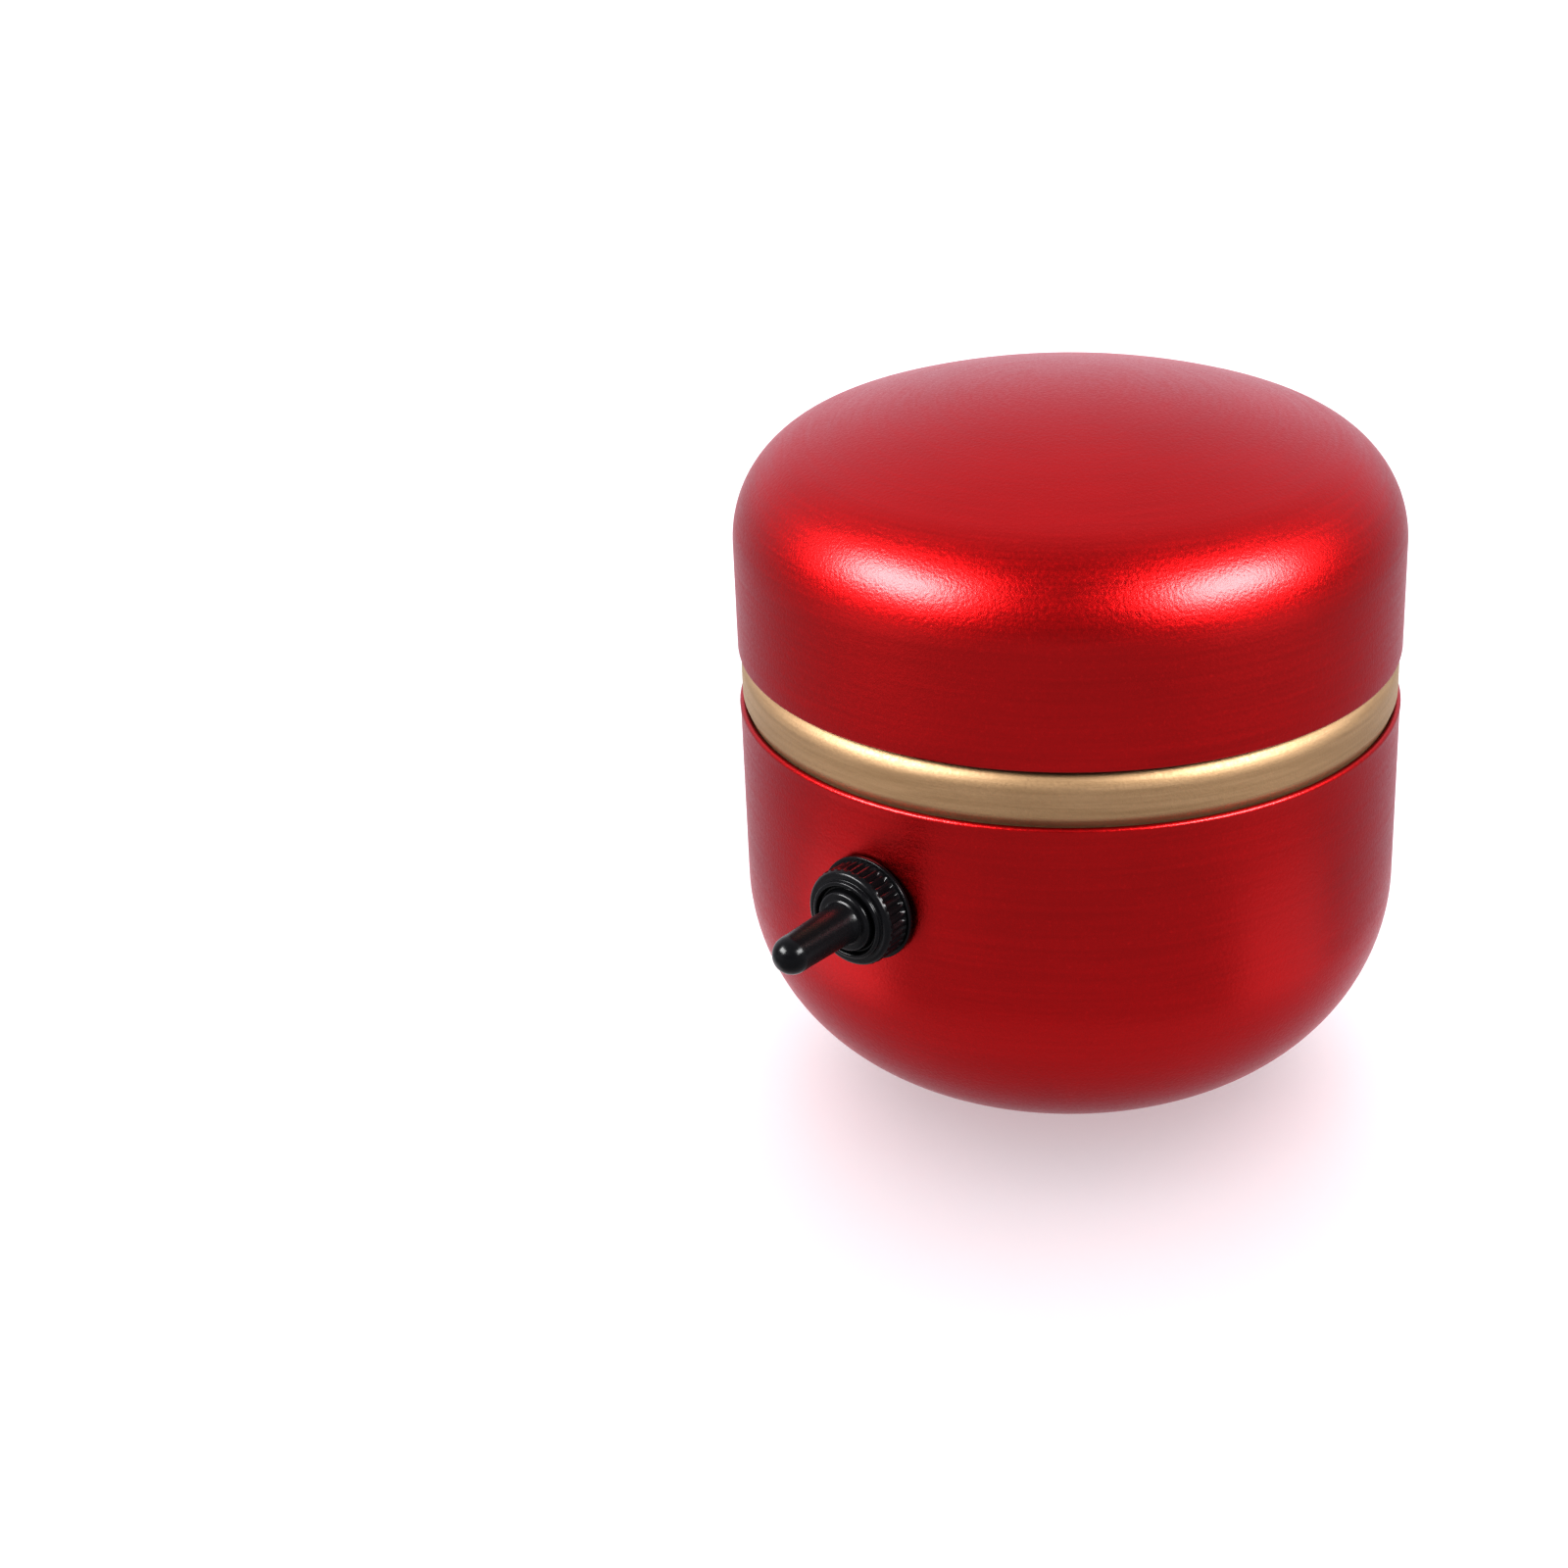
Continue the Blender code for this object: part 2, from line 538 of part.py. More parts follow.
def screw_bores(radius):
    """Cutting cylinders for the pan screws' holes."""
    bm = bmesh.new()
    for x, y in pan_screw_places():
        add_cylinder(bm, radius, COLLAR_BOTTOM_Z - CUT_OVER, PAN_FLOOR_Z + CUT_OVER,
                     TINY_STEPS, centre=(x, y))
    return bm


def make_pan():
    profile = [
        (PAN_RADIUS - PAN_CHAMFER, PAN_BOTTOM_Z),
        (PAN_RADIUS, PAN_BOTTOM_Z + PAN_CHAMFER),
        (PAN_RADIUS, PAN_TOP_Z),
        (PAN_RADIUS - PAN_WALL, PAN_TOP_Z),
        (PAN_RADIUS - PAN_WALL, PAN_FLOOR_Z),
        (TOWER_RADIUS, PAN_FLOOR_Z),
        (TOWER_RADIUS, TOWER_TOP_Z),
        (TOWER_INNER, TOWER_TOP_Z),
        (TOWER_INNER, PAN_FLOOR_Z),
        (MOTOR_BOSS_RADIUS + TOUCH_GAP, PAN_FLOOR_Z),
        (MOTOR_BOSS_RADIUS + TOUCH_GAP, PAN_BOTTOM_Z),
    ]
    pan = turned("splash_pan", profile, PAN_PLASTIC, LARGE_STEPS)
    holes = screw_bores(PAN_SCREW_RADIUS + SEAT_FIT)
    for x, y in motor_screw_places():
        add_cylinder(holes, MOTOR_SCREW_RADIUS + SEAT_FIT, PAN_BOTTOM_Z - CUT_OVER,
                     PAN_FLOOR_Z + CUT_OVER, TINY_STEPS, centre=(x, y))
    combine(pan, cutter("pan_holes", holes))
    screw = spun(screw_profile(PAN_SCREW_RADIUS, PAN_SCREW_HEAD, PAN_SCREW_LENGTH,
                               PAN_SCREW_HEAD_HEIGHT), TINY_STEPS)
    copies("pan_screw", screw, STEEL,
           [(x, y, PAN_FLOOR_Z + TOUCH_GAP) for x, y in pan_screw_places()])


# ---- motor --------------------------------------------------------------------------
def make_motor():
    boss_top = MOTOR_TOP_Z + MOTOR_BOSS_HEIGHT
    under = MOTOR_TOP_Z - MOTOR_SHEET
    seat = BUSH_RADIUS + RUNNING_FIT
    can = turned("motor_can", [
        (seat, under), (seat, boss_top),
        (MOTOR_BOSS_RADIUS, boss_top), (MOTOR_BOSS_RADIUS, MOTOR_TOP_Z),
        (MOTOR_RADIUS - MOTOR_CAN_CHAMFER, MOTOR_TOP_Z),
        (MOTOR_RADIUS, MOTOR_TOP_Z - MOTOR_CAN_CHAMFER),
        (MOTOR_RADIUS, MOTOR_OPEN_Z), (MOTOR_INNER, MOTOR_OPEN_Z), (MOTOR_INNER, under),
    ], STEEL, MIDDLE_STEPS)
    holes = bmesh.new()
    for x, y in motor_screw_places():
        add_cylinder(holes, MOTOR_SCREW_RADIUS + SEAT_FIT, under - CUT_OVER,
                     MOTOR_TOP_Z + CUT_OVER, TINY_STEPS, centre=(x, y))
    combine(can, cutter("motor_thread_holes", holes))
    screw = spun(screw_profile(MOTOR_SCREW_RADIUS, MOTOR_SCREW_HEAD, MOTOR_SCREW_LENGTH,
                               MOTOR_SCREW_HEAD_HEIGHT), TINY_STEPS)
    copies("motor_screw", screw, STEEL,
           [(x, y, PAN_FLOOR_Z + TOUCH_GAP) for x, y in motor_screw_places()])

    plug = MOTOR_INNER - SEAT_FIT
    plug_top = END_CAP_TOP_Z + END_CAP_PLUG
    cap = turned("motor_end_cap", [
        (seat, END_CAP_BOTTOM_Z), (MOTOR_RADIUS, END_CAP_BOTTOM_Z),
        (MOTOR_RADIUS, END_CAP_TOP_Z), (plug, END_CAP_TOP_Z),
        (plug, plug_top), (seat, plug_top),
    ], DARK_PLASTIC, MIDDLE_STEPS)
    slots = bmesh.new()
    half_t = MOTOR_TAB_THICKNESS / 2 + SEAT_FIT
    half_w = MOTOR_TAB_WIDTH / 2 + SEAT_FIT
    for x in (-MOTOR_TAB_RADIUS, MOTOR_TAB_RADIUS):
        add_box(slots, (x - half_t, -half_w, END_CAP_BOTTOM_Z - CUT_OVER),
                (x + half_t, half_w, plug_top + CUT_OVER))
    combine(cap, cutter("terminal_slots", slots))

    bush = washer_profile(SHAFT_RADIUS + RUNNING_FIT, BUSH_RADIUS, 0.0, BUSH_LENGTH)
    turned("front_bush", bush, BRASS, location=(0, 0, boss_top - BUSH_LENGTH))
    turned("rear_bush", bush, BRASS,
           location=(0, 0, plug_top - BUSH_LENGTH - BUSH_INSET))

    make_magnets()
    make_brushes()


def make_magnets():
    """Two curved magnets glued to the inside of the motor's can."""
    outer = MOTOR_INNER - SEAT_FIT
    inner = outer - MAGNET_THICKNESS
    start = -MAGNET_SPAN / 2
    angles = [start + MAGNET_SPAN * i / 10 for i in range(11)]
    outline = [on_circle(outer, a) for a in angles]
    outline += [on_circle(inner, a) for a in reversed(angles)]
    first = extruded("magnet_1", outline, MAGNET_TOP_Z - MAGNET_LENGTH, MAGNET_TOP_Z,
                     MAGNET, rotation=(0, 0, math.pi / 2))
    add_mesh("magnet_2", first.data, MAGNET, rotation=(0, 0, -math.pi / 2))


def make_brushes():
    """Blade terminals through the end cap, each with its brush on an arm."""
    low = COMMUTATOR_Z + BRUSH_INSET
    high = COMMUTATOR_Z + COMMUTATOR_LENGTH - BRUSH_INSET
    outer = MOTOR_TAB_RADIUS + MOTOR_TAB_THICKNESS / 2
    face = COMMUTATOR_RADIUS + RUNNING_FIT * 2
    back = face + BRUSH_LENGTH
    first = extruded("motor_brush_1", [
        (face, -BRUSH_HALF_WIDTH), (back, -BRUSH_HALF_WIDTH), (back, -BRUSH_ARM_HALF),
        (outer, -BRUSH_ARM_HALF), (outer, BRUSH_ARM_HALF), (back, BRUSH_ARM_HALF),
        (back, BRUSH_HALF_WIDTH), (face, BRUSH_HALF_WIDTH),
    ], low, high, COPPER)
    add_mesh("motor_brush_2", first.data, COPPER, rotation=(0, 0, math.pi))
    blade = bmesh.new()
    add_box(blade, (MOTOR_TAB_RADIUS - MOTOR_TAB_THICKNESS / 2, -MOTOR_TAB_WIDTH / 2,
                    END_CAP_BOTTOM_Z - MOTOR_TAB_LENGTH),
            (outer, MOTOR_TAB_WIDTH / 2, low - TOUCH_GAP))
    copies("motor_terminal", blade, BRASS, [(0, 0, 0)] * 2, turns=[0.0, math.pi])


# ---- everything that spins ------------------------------------------------------------
def make_rotor(axis):
    bottom = END_CAP_BOTTOM_Z + SHAFT_INSET
    turned("motor_shaft", [
        (0.0, bottom), (SHAFT_RADIUS, bottom), (SHAFT_RADIUS, SHAFT_TOP_Z - SHAFT_CHAMFER),
        (SHAFT_RADIUS - SHAFT_CHAMFER, SHAFT_TOP_Z), (0.0, SHAFT_TOP_Z),
    ], STEEL, parent=axis)
    turned("commutator", washer_profile(SHAFT_RADIUS + RUNNING_FIT, COMMUTATOR_RADIUS,
                                        COMMUTATOR_Z, COMMUTATOR_Z + COMMUTATOR_LENGTH),
           COPPER, parent=axis)
    ring = SHAFT_RADIUS + ROTOR_HUB
    shoe = ROTOR_RADIUS - POLE_SHOE
    half_neck = math.asin(POLE_NECK / 2 / ring)
    half_shoe_neck = math.asin(POLE_NECK / 2 / shoe)
    half_shoe = POLE_SHOE_SPAN / 2
    outline = []
    for pole in range(ROTOR_POLES):
        middle = 2 * math.pi * pole / ROTOR_POLES
        outline.append(on_circle(ring, middle - half_neck))
        outline.append(on_circle(shoe, middle - half_shoe_neck))
        outline.append(on_circle(shoe, middle - half_shoe))
        for step in range(7):
            outline.append(on_circle(ROTOR_RADIUS, middle - half_shoe + half_shoe * step / 3))
        outline.append(on_circle(shoe, middle + half_shoe))
        outline.append(on_circle(shoe, middle + half_shoe_neck))
        outline.append(on_circle(ring, middle + half_neck))
    low = ROTOR_TOP_Z - ROTOR_LENGTH
    core = extruded("rotor_core", outline, low, ROTOR_TOP_Z, STEEL, parent=axis)
    bore = bmesh.new()
    add_cylinder(bore, SHAFT_RADIUS + RUNNING_FIT, low - CUT_OVER,
                 ROTOR_TOP_Z + CUT_OVER, SMALL_STEPS)
    combine(core, cutter("rotor_bore", bore, parent=axis))
    make_coils(axis, ring, shoe, low)


def make_coils(axis, ring, shoe, low):
    """One winding round each pole's neck: a rectangular hoop."""
    inner_y = POLE_NECK / 2 + SEAT_FIT
    outer_y = inner_y + COIL_THICKNESS
    near = ring + COIL_MARGIN
    far = shoe - COIL_SHOE_MARGIN
    hoop = bmesh.new()
    rings = []
    for y, z_low, z_high in (
        (inner_y, low - SEAT_FIT, ROTOR_TOP_Z + SEAT_FIT),
        (outer_y, low - COIL_THICKNESS, ROTOR_TOP_Z + COIL_THICKNESS),
    ):
        for x in (near, far):
            corners = ((-y, z_low), (y, z_low), (y, z_high), (-y, z_high))
            rings.append([hoop.verts.new((x, a, b)) for a, b in corners])
    inner_near, inner_far, outer_near, outer_far = rings
    for one, two in ((inner_near, inner_far), (inner_far, outer_far),
                     (outer_far, outer_near), (outer_near, inner_near)):
        for i in range(4):
            j = (i + 1) % 4
            hoop.faces.new((one[i], one[j], two[j], two[i]))
    copies("rotor_coil", hoop, COPPER, [(0, 0, 0)] * ROTOR_POLES, axis,
           [2 * math.pi * pole / ROTOR_POLES for pole in range(ROTOR_POLES)])


def wheel_screw_places():
    return round_the_axis(WHEEL_SCREW_CIRCLE, 30, WHEEL_SCREWS)


def make_wheel(axis):
    top = [(0.0, WHEEL_TOP_Z)]
    for radius in GROOVES:
        top += [(radius - GROOVE_DEPTH, WHEEL_TOP_Z), (radius, WHEEL_TOP_Z - GROOVE_DEPTH),
                (radius + GROOVE_DEPTH, WHEEL_TOP_Z)]
    edge = [(WHEEL_RADIUS - WHEEL_CHAMFER, WHEEL_TOP_Z),
            (WHEEL_RADIUS, WHEEL_TOP_Z - WHEEL_CHAMFER),
            (WHEEL_RADIUS, WHEEL_BOTTOM_Z + WHEEL_CHAMFER / 2),
            (WHEEL_RADIUS - WHEEL_CHAMFER / 2, WHEEL_BOTTOM_Z), (0.0, WHEEL_BOTTOM_Z)]
    head = turned("wheel_head", top + edge, ALUMINIUM, LARGE_STEPS, parent=axis)
    bores = bmesh.new()
    for x, y in wheel_screw_places():
        add_cylinder(bores, WHEEL_SCREW_RADIUS + SEAT_FIT, FLANGE_BOTTOM_Z - CUT_OVER,
                     WHEEL_TOP_Z + CUT_OVER, TINY_STEPS, centre=(x, y))
    drill = cutter("wheel_bores", bores, parent=axis)
    combine(head, drill)
    sinks = bmesh.new()
    for x, y in wheel_screw_places():
        add_cylinder(sinks, WHEEL_SCREW_HEAD + SEAT_FIT, WHEEL_TOP_Z - WHEEL_SINK_DEPTH,
                     WHEEL_TOP_Z + CUT_OVER, TINY_STEPS, centre=(x, y))
    combine(head, cutter("wheel_counterbores", sinks, parent=axis))

    seat = SHAFT_RADIUS + RUNNING_FIT
    bore_top = SHAFT_TOP_Z + HUB_BORE_ROOM
    hub = turned("wheel_hub", [
        (0.0, bore_top), (seat, bore_top), (seat, HUB_BOTTOM_Z),
        (HUB_RADIUS, HUB_BOTTOM_Z), (HUB_RADIUS, FLANGE_BOTTOM_Z),
        (SKIRT_INNER, FLANGE_BOTTOM_Z), (SKIRT_INNER, SKIRT_BOTTOM_Z),
        (SKIRT_OUTER, SKIRT_BOTTOM_Z), (SKIRT_OUTER, FLANGE_TOP_Z),
        (0.0, FLANGE_TOP_Z),
    ], ALUMINIUM, MIDDLE_STEPS, parent=axis)
    combine(hub, drill)
    grub_hole = bmesh.new()
    add_cylinder(grub_hole, SET_SCREW_RADIUS + SEAT_FIT, SHAFT_RADIUS * 0.5,
                 SKIRT_OUTER + CUT_OVER, TINY_STEPS)
    combine(hub, cutter("grub_hole", grub_hole, parent=axis,
                        location=(0, 0, SET_SCREW_Z), rotation=(0, math.pi / 2, 0)))
    grub_in = SHAFT_RADIUS + SEAT_FIT
    grub_out = HUB_RADIUS - SET_SCREW_INSET
    turned("hub_set_screw", [
        (0.0, grub_in), (SET_SCREW_RADIUS, grub_in), (SET_SCREW_RADIUS, grub_out),
        (SET_SCREW_SOCKET, grub_out), (0.0, grub_out - SET_SCREW_SOCKET),
    ], STEEL, TINY_STEPS, parent=axis,
        location=(0, 0, SET_SCREW_Z), rotation=(0, math.pi / 2, 0))
    head_rest = WHEEL_TOP_Z - WHEEL_SINK_DEPTH + TOUCH_GAP
    length = head_rest - FLANGE_BOTTOM_Z - SEAT_FIT
    screw = spun(screw_profile(WHEEL_SCREW_RADIUS, WHEEL_SCREW_HEAD, length,
                               WHEEL_SCREW_HEAD_HEIGHT), TINY_STEPS)
    copies("wheel_screw", screw, STEEL,
           [(x, y, head_rest) for x, y in wheel_screw_places()], axis)


# ---- toggle switch --------------------------------------------------------------------
def inner_seat(radius):
    """Depth behind the can's outside at which a flat washer of this radius rests."""
    return TIN_RADIUS - math.sqrt(CAN_INNER ** 2 - radius ** 2)


def switch_pins():
    """Places of the six solder pins, in rows of two from the top down."""
    return [((column - 0.5) * PIN_PITCH_ACROSS, (1 - row) * PIN_PITCH_UP)
            for row in range(3) for column in range(2)]


WASHER_FACE = -(inner_seat(WASHER_RADIUS) + TOUCH_GAP)
NUT_FACE = WASHER_FACE - WASHER_THICKNESS - TOUCH_GAP
COVER_FACE = NUT_FACE - SWITCH_NUT_HEIGHT - TOUCH_GAP
CASE_FACE = COVER_FACE - COVER_THICKNESS - TOUCH_GAP
CASE_BACK = CASE_FACE - CASE_DEPTH
PIN_TIP = CASE_BACK - PIN_LENGTH


def make_switch(axis, pivot):
    half_w = CASE_WIDTH / 2
    half_h = CASE_HEIGHT / 2
    case = box("switch_case", (-half_w, -half_h, CASE_BACK), (half_w, half_h, CASE_FACE),
               BLUE_PLASTIC, parent=axis)
    room = bmesh.new()
    add_box(room, (-half_w + CASE_WALL, -half_h + CASE_WALL, CASE_BACK + CASE_WALL),
            (half_w - CASE_WALL, half_h - CASE_WALL, CASE_FACE + CUT_OVER))
    combine(case, cutter("case_room", room, parent=axis))
    slots = bmesh.new()
    slot_w = PIN_WIDTH / 2 + SEAT_FIT
    slot_h = PIN_HEIGHT / 2 + SEAT_FIT
    for x, y in switch_pins():
        add_box(slots, (x - slot_w, y - slot_h, CASE_BACK - CUT_OVER),
                (x + slot_w, y + slot_h, CASE_BACK + CASE_WALL + CUT_OVER))
    combine(case, cutter("pin_slots", slots, parent=axis))
    pin = bmesh.new()
    add_box(pin, (-PIN_WIDTH / 2, -PIN_HEIGHT / 2, PIN_TIP),
            (PIN_WIDTH / 2, PIN_HEIGHT / 2, CASE_BACK + CASE_WALL + PIN_INSIDE))
    copies("switch_pin", pin, BRASS, [(x, y, 0) for x, y in switch_pins()], axis)

    cover = box("switch_bushing", (-half_w, -half_h, COVER_FACE - COVER_THICKNESS),
                (half_w, half_h, COVER_FACE), STEEL, parent=axis)
    tube = bmesh.new()
    add_cylinder(tube, BUSHING_RADIUS, COVER_FACE - COVER_THICKNESS / 2, BUSHING_OUT,
                 SMALL_STEPS)
    combine(cover, cutter("bushing_tube", tube, parent=axis), "UNION")
    bore = bmesh.new()
    add_cylinder(bore, BUSHING_BORE, COVER_FACE - COVER_THICKNESS - CUT_OVER,
                 BUSHING_OUT + CUT_OVER, SMALL_STEPS)
    combine(cover, cutter("bushing_bore", bore, parent=axis))

    bore_radius = BUSHING_RADIUS + SEAT_FIT
    hex_nut("switch_nut", SWITCH_NUT_FLATS, bore_radius, NUT_FACE - SWITCH_NUT_HEIGHT,
            NUT_FACE, STEEL, parent=axis)
    turned("lock_washer", washer_profile(bore_radius, WASHER_RADIUS,
                                         WASHER_FACE - WASHER_THICKNESS, WASHER_FACE),
           STEEL, parent=axis)
    insert_low = TOUCH_GAP + INSERT_LIFT
    hex_nut("boot_insert", INSERT_FLATS, bore_radius, insert_low,
            insert_low + INSERT_HEIGHT, BRASS, parent=axis)
    make_boot(axis, pivot)

    # the lever's own heights run from its pivot
    ball = arc((0.0, 0.0), LEVER_BALL, -70, 54, 4)
    tail_r = ball[0][0]
    tip_z = LEVER_OUT - PIVOT_OUT
    tip = arc((0.0, tip_z - LEVER_RADIUS), LEVER_RADIUS, 0, 90, 3)[:-1]
    turned("switch_lever", [(0.0, -LEVER_TAIL), (LEVER_TAIL_RADIUS, -LEVER_TAIL),
                            (tail_r, ball[0][1])] + ball[1:-1]
           + [(LEVER_RADIUS, ball[-1][1])] + tip + [(0.0, tip_z)],
           STEEL, SMALL_STEPS, parent=pivot)


def make_boot(axis, pivot):
    """Ribbed rubber base that stays still, and the sleeve that follows the lever."""
    low = TOUCH_GAP
    flange_top = low + BOOT_FLANGE_HEIGHT
    band_top = flange_top + BOOT_BAND_HEIGHT
    shoulder_r = BOOT_BAND_RADIUS - BOOT_SHOULDER
    pocket = INSERT_FLATS / 2 / math.cos(math.radians(30)) + SEAT_FIT
    pocket_top = low + INSERT_LIFT + INSERT_HEIGHT + TOUCH_GAP
    shoulder = arc((shoulder_r, band_top), BOOT_SHOULDER, 30, 90, 2)
    front = band_top + BOOT_SHOULDER
    profile = [
        (pocket, low), (BOOT_FLANGE_RADIUS, low), (BOOT_FLANGE_RADIUS, flange_top),
        (BOOT_BAND_RADIUS, flange_top), (BOOT_BAND_RADIUS, band_top),
    ] + shoulder + [(BOOT_MOUTH, front), (BOOT_MOUTH, pocket_top), (pocket, pocket_top)]
    bm = spun(profile, BOOT_RIBS * 2)
    for vert in bm.verts:
        on_band = flange_top - 1e-6 < vert.co.z < band_top + 1e-6
        radius = vert.co.xy.length
        if on_band and abs(radius - BOOT_BAND_RADIUS) < 1e-6:
            turn = math.atan2(vert.co.y, vert.co.x) * BOOT_RIBS / math.pi
            if round(turn) % 2:
                vert.co.xy *= (BOOT_BAND_RADIUS - RIB_DEPTH) / BOOT_BAND_RADIUS
    add_object("boot_base", bm, BLACK_RUBBER, parent=axis)

    start = front + TOUCH_GAP - PIVOT_OUT
    bulge = start + SLEEVE_BULGE_RISE
    neck = bulge + SLEEVE_NECK_RISE
    tip = SLEEVE_OUT - PIVOT_OUT
    inner = SLEEVE_RADIUS - SLEEVE_WALL
    room = LEVER_OUT - PIVOT_OUT + TOUCH_GAP
    end = arc((0.0, tip - SLEEVE_RADIUS), SLEEVE_RADIUS, 0, 90, 4)[:-1]
    turned("boot_sleeve", [
        (0.0, room), (inner, room - inner * 0.6), (inner, start),
        (SLEEVE_BULGE - SLEEVE_BULGE_RISE, start), (SLEEVE_BULGE, bulge),
        (SLEEVE_RADIUS + SLEEVE_BULGE_RISE, neck), (SLEEVE_RADIUS, neck + SLEEVE_BULGE_RISE),
    ] + end + [(0.0, tip)], BLACK_RUBBER, SMALL_STEPS, parent=pivot)


# ---- DC socket ------------------------------------------------------------------------
def make_jack(axis):
    flange_low = TOUCH_GAP
    face = flange_low + JACK_FLANGE
    bottom = face - JACK_BORE_DEPTH
    back = -JACK_LENGTH
    turned("jack_housing", [
        (JACK_PIN_RADIUS + SEAT_FIT, bottom), (JACK_BORE, bottom), (JACK_BORE, face),
        (JACK_FLANGE_RADIUS, face), (JACK_FLANGE_RADIUS, flange_low),
        (JACK_RADIUS, flange_low), (JACK_RADIUS, back),
        (JACK_PIN_RADIUS + SEAT_FIT, back),
    ], DARK_PLASTIC, SMALL_STEPS, parent=axis)
    pin_tip = face - JACK_PIN_INSET
    turned("jack_pin", [
        (0.0, back + TOUCH_GAP), (JACK_PIN_RADIUS, back + TOUCH_GAP),
        (JACK_PIN_RADIUS, pin_tip - JACK_PIN_TAPER), (JACK_PIN_RADIUS / 2, pin_tip),
        (0.0, pin_tip)], STEEL, TINY_STEPS, parent=axis)
    nut_radius = JACK_NUT_FLATS / 2 / math.cos(math.radians(30))
    nut_face = -(inner_seat(nut_radius) + TOUCH_GAP)
    hex_nut("jack_nut", JACK_NUT_FLATS, JACK_RADIUS + SEAT_FIT, nut_face - JACK_NUT_HEIGHT,
            nut_face, STEEL, parent=axis)
    tab_top = back - TOUCH_GAP
    tab = bmesh.new()
    add_box(tab, (-JACK_TAB_WIDTH / 2, -JACK_TAB_THICKNESS / 2, tab_top - JACK_TAB_LENGTH),
            (JACK_TAB_WIDTH / 2, JACK_TAB_THICKNESS / 2, tab_top))
    copies("jack_terminal", tab, BRASS,
           [(0, JACK_TAB_SPACING, 0), (0, -JACK_TAB_SPACING, 0)], axis)


# ---- wires ----------------------------------------------------------------------------
def smooth_route(points, count):
    """Evenly stepped points along a Catmull-Rom curve through the route."""
    path = [Vector(p) for p in points]
    path = [2 * path[0] - path[1]] + path + [2 * path[-1] - path[-2]]
    spans = len(path) - 3
    made = []
    for step in range(count):
        place = min(spans * step / (count - 1), spans - 1e-9)
        i = int(place)
        t = place - i
        a, b, c, d = path[i:i + 4]
        made.append(0.5 * (2 * b + (c - a) * t + (2 * a - 5 * b + 4 * c - d) * t * t
                           + (3 * b - a - 3 * c + d) * t ** 3))
    return made


def wire(name, points, finish, count):
    curve = bpy.data.curves.new(name, "CURVE")
    curve.dimensions = "3D"
    curve.bevel_depth = WIRE_RADIUS
    curve.bevel_resolution = 2
    curve.use_fill_caps = True
    spline = curve.splines.new("POLY")
    route = smooth_route(points, count)
    spline.points.add(len(route) - 1)
    for point, place in zip(spline.points, route):
        point.co = (*place, 1.0)
    curve.materials.append(finish)
    piece = bpy.data.objects.new(name, curve)
    bpy.context.scene.collection.objects.link(piece)
    return piece


def make_wires():
    """Leads from the socket to the switch and on to the motor, inside the can."""
    pins = switch_pins()
    tip_y = -TIN_RADIUS - PIN_TIP + TOUCH_GAP
    low_z = CAN_BASE_Z + SHEET + 5.5 * MM
    side = MOTOR_RADIUS + 4.0 * MM
    tab_y = TIN_RADIUS - JACK_LENGTH - JACK_TAB_LENGTH - 2 * TOUCH_GAP
    for name, pin, direction, tab_z, finish in (
        ("wire_supply_plus", 3, 1, JACK_Z + JACK_TAB_SPACING, RED_WIRE),
        ("wire_supply_minus", 2, -1, JACK_Z - JACK_TAB_SPACING, BLACK_WIRE),
    ):
        x, up = pins[pin]
        wire(name, [
            (x, tip_y, SWITCH_Z + up),
            (x + direction * 0.6 * MM, tip_y + 2.0 * MM, SWITCH_Z + up),
            (x + direction * 4.5 * MM, tip_y + 5.5 * MM, SWITCH_Z - 7 * MM),
            (direction * 0.75 * side, -0.85 * side, low_z + 9 * MM),
            (direction * side, -0.2 * side, low_z + 1.5 * MM),
            (direction * 0.95 * side, 0.55 * side, low_z + 3.0 * MM),
            (direction * 0.45 * side, 1.1 * side, (low_z + tab_z) / 2),
            (direction * 0.1 * side, tab_y - 4.5 * MM, tab_z - 3.0 * MM),
            (0.0, tab_y - 1.5 * MM, tab_z - 0.3 * MM),
            (0.0, tab_y, tab_z),
        ], finish, WIRE_POINTS)
    tab_x = MOTOR_TAB_RADIUS + MOTOR_TAB_THICKNESS / 2 + TOUCH_GAP + WIRE_RADIUS
    front = MOTOR_RADIUS + 3.0 * MM
    run_z = END_CAP_BOTTOM_Z - 2.4 * MM
    for name, pin, direction, finish in (("wire_motor_plus", 5, 1, RED_WIRE),
                                         ("wire_motor_minus", 4, -1, BLACK_WIRE)):
        x, up = pins[pin]
        wire(name, [
            (x, tip_y, SWITCH_Z + up),
            (x + direction * 0.2 * MM, tip_y + 2.0 * MM, SWITCH_Z + up - 0.2 * MM),
            (direction * 0.2 * front, -1.3 * front, SWITCH_Z - 12 * MM),
            (direction * 0.3 * front, -1.12 * front, run_z + 10 * MM),
            (direction * 0.45 * front, -0.93 * front, run_z + 2.6 * MM),
            (direction * 0.96 * tab_x, -0.62 * front, run_z + 0.2 * MM),
            (direction * 1.0 * tab_x, -0.25 * front, run_z),
            (direction * tab_x, 0.4 * MOTOR_TAB_WIDTH, run_z),
        ], finish, WIRE_POINTS)


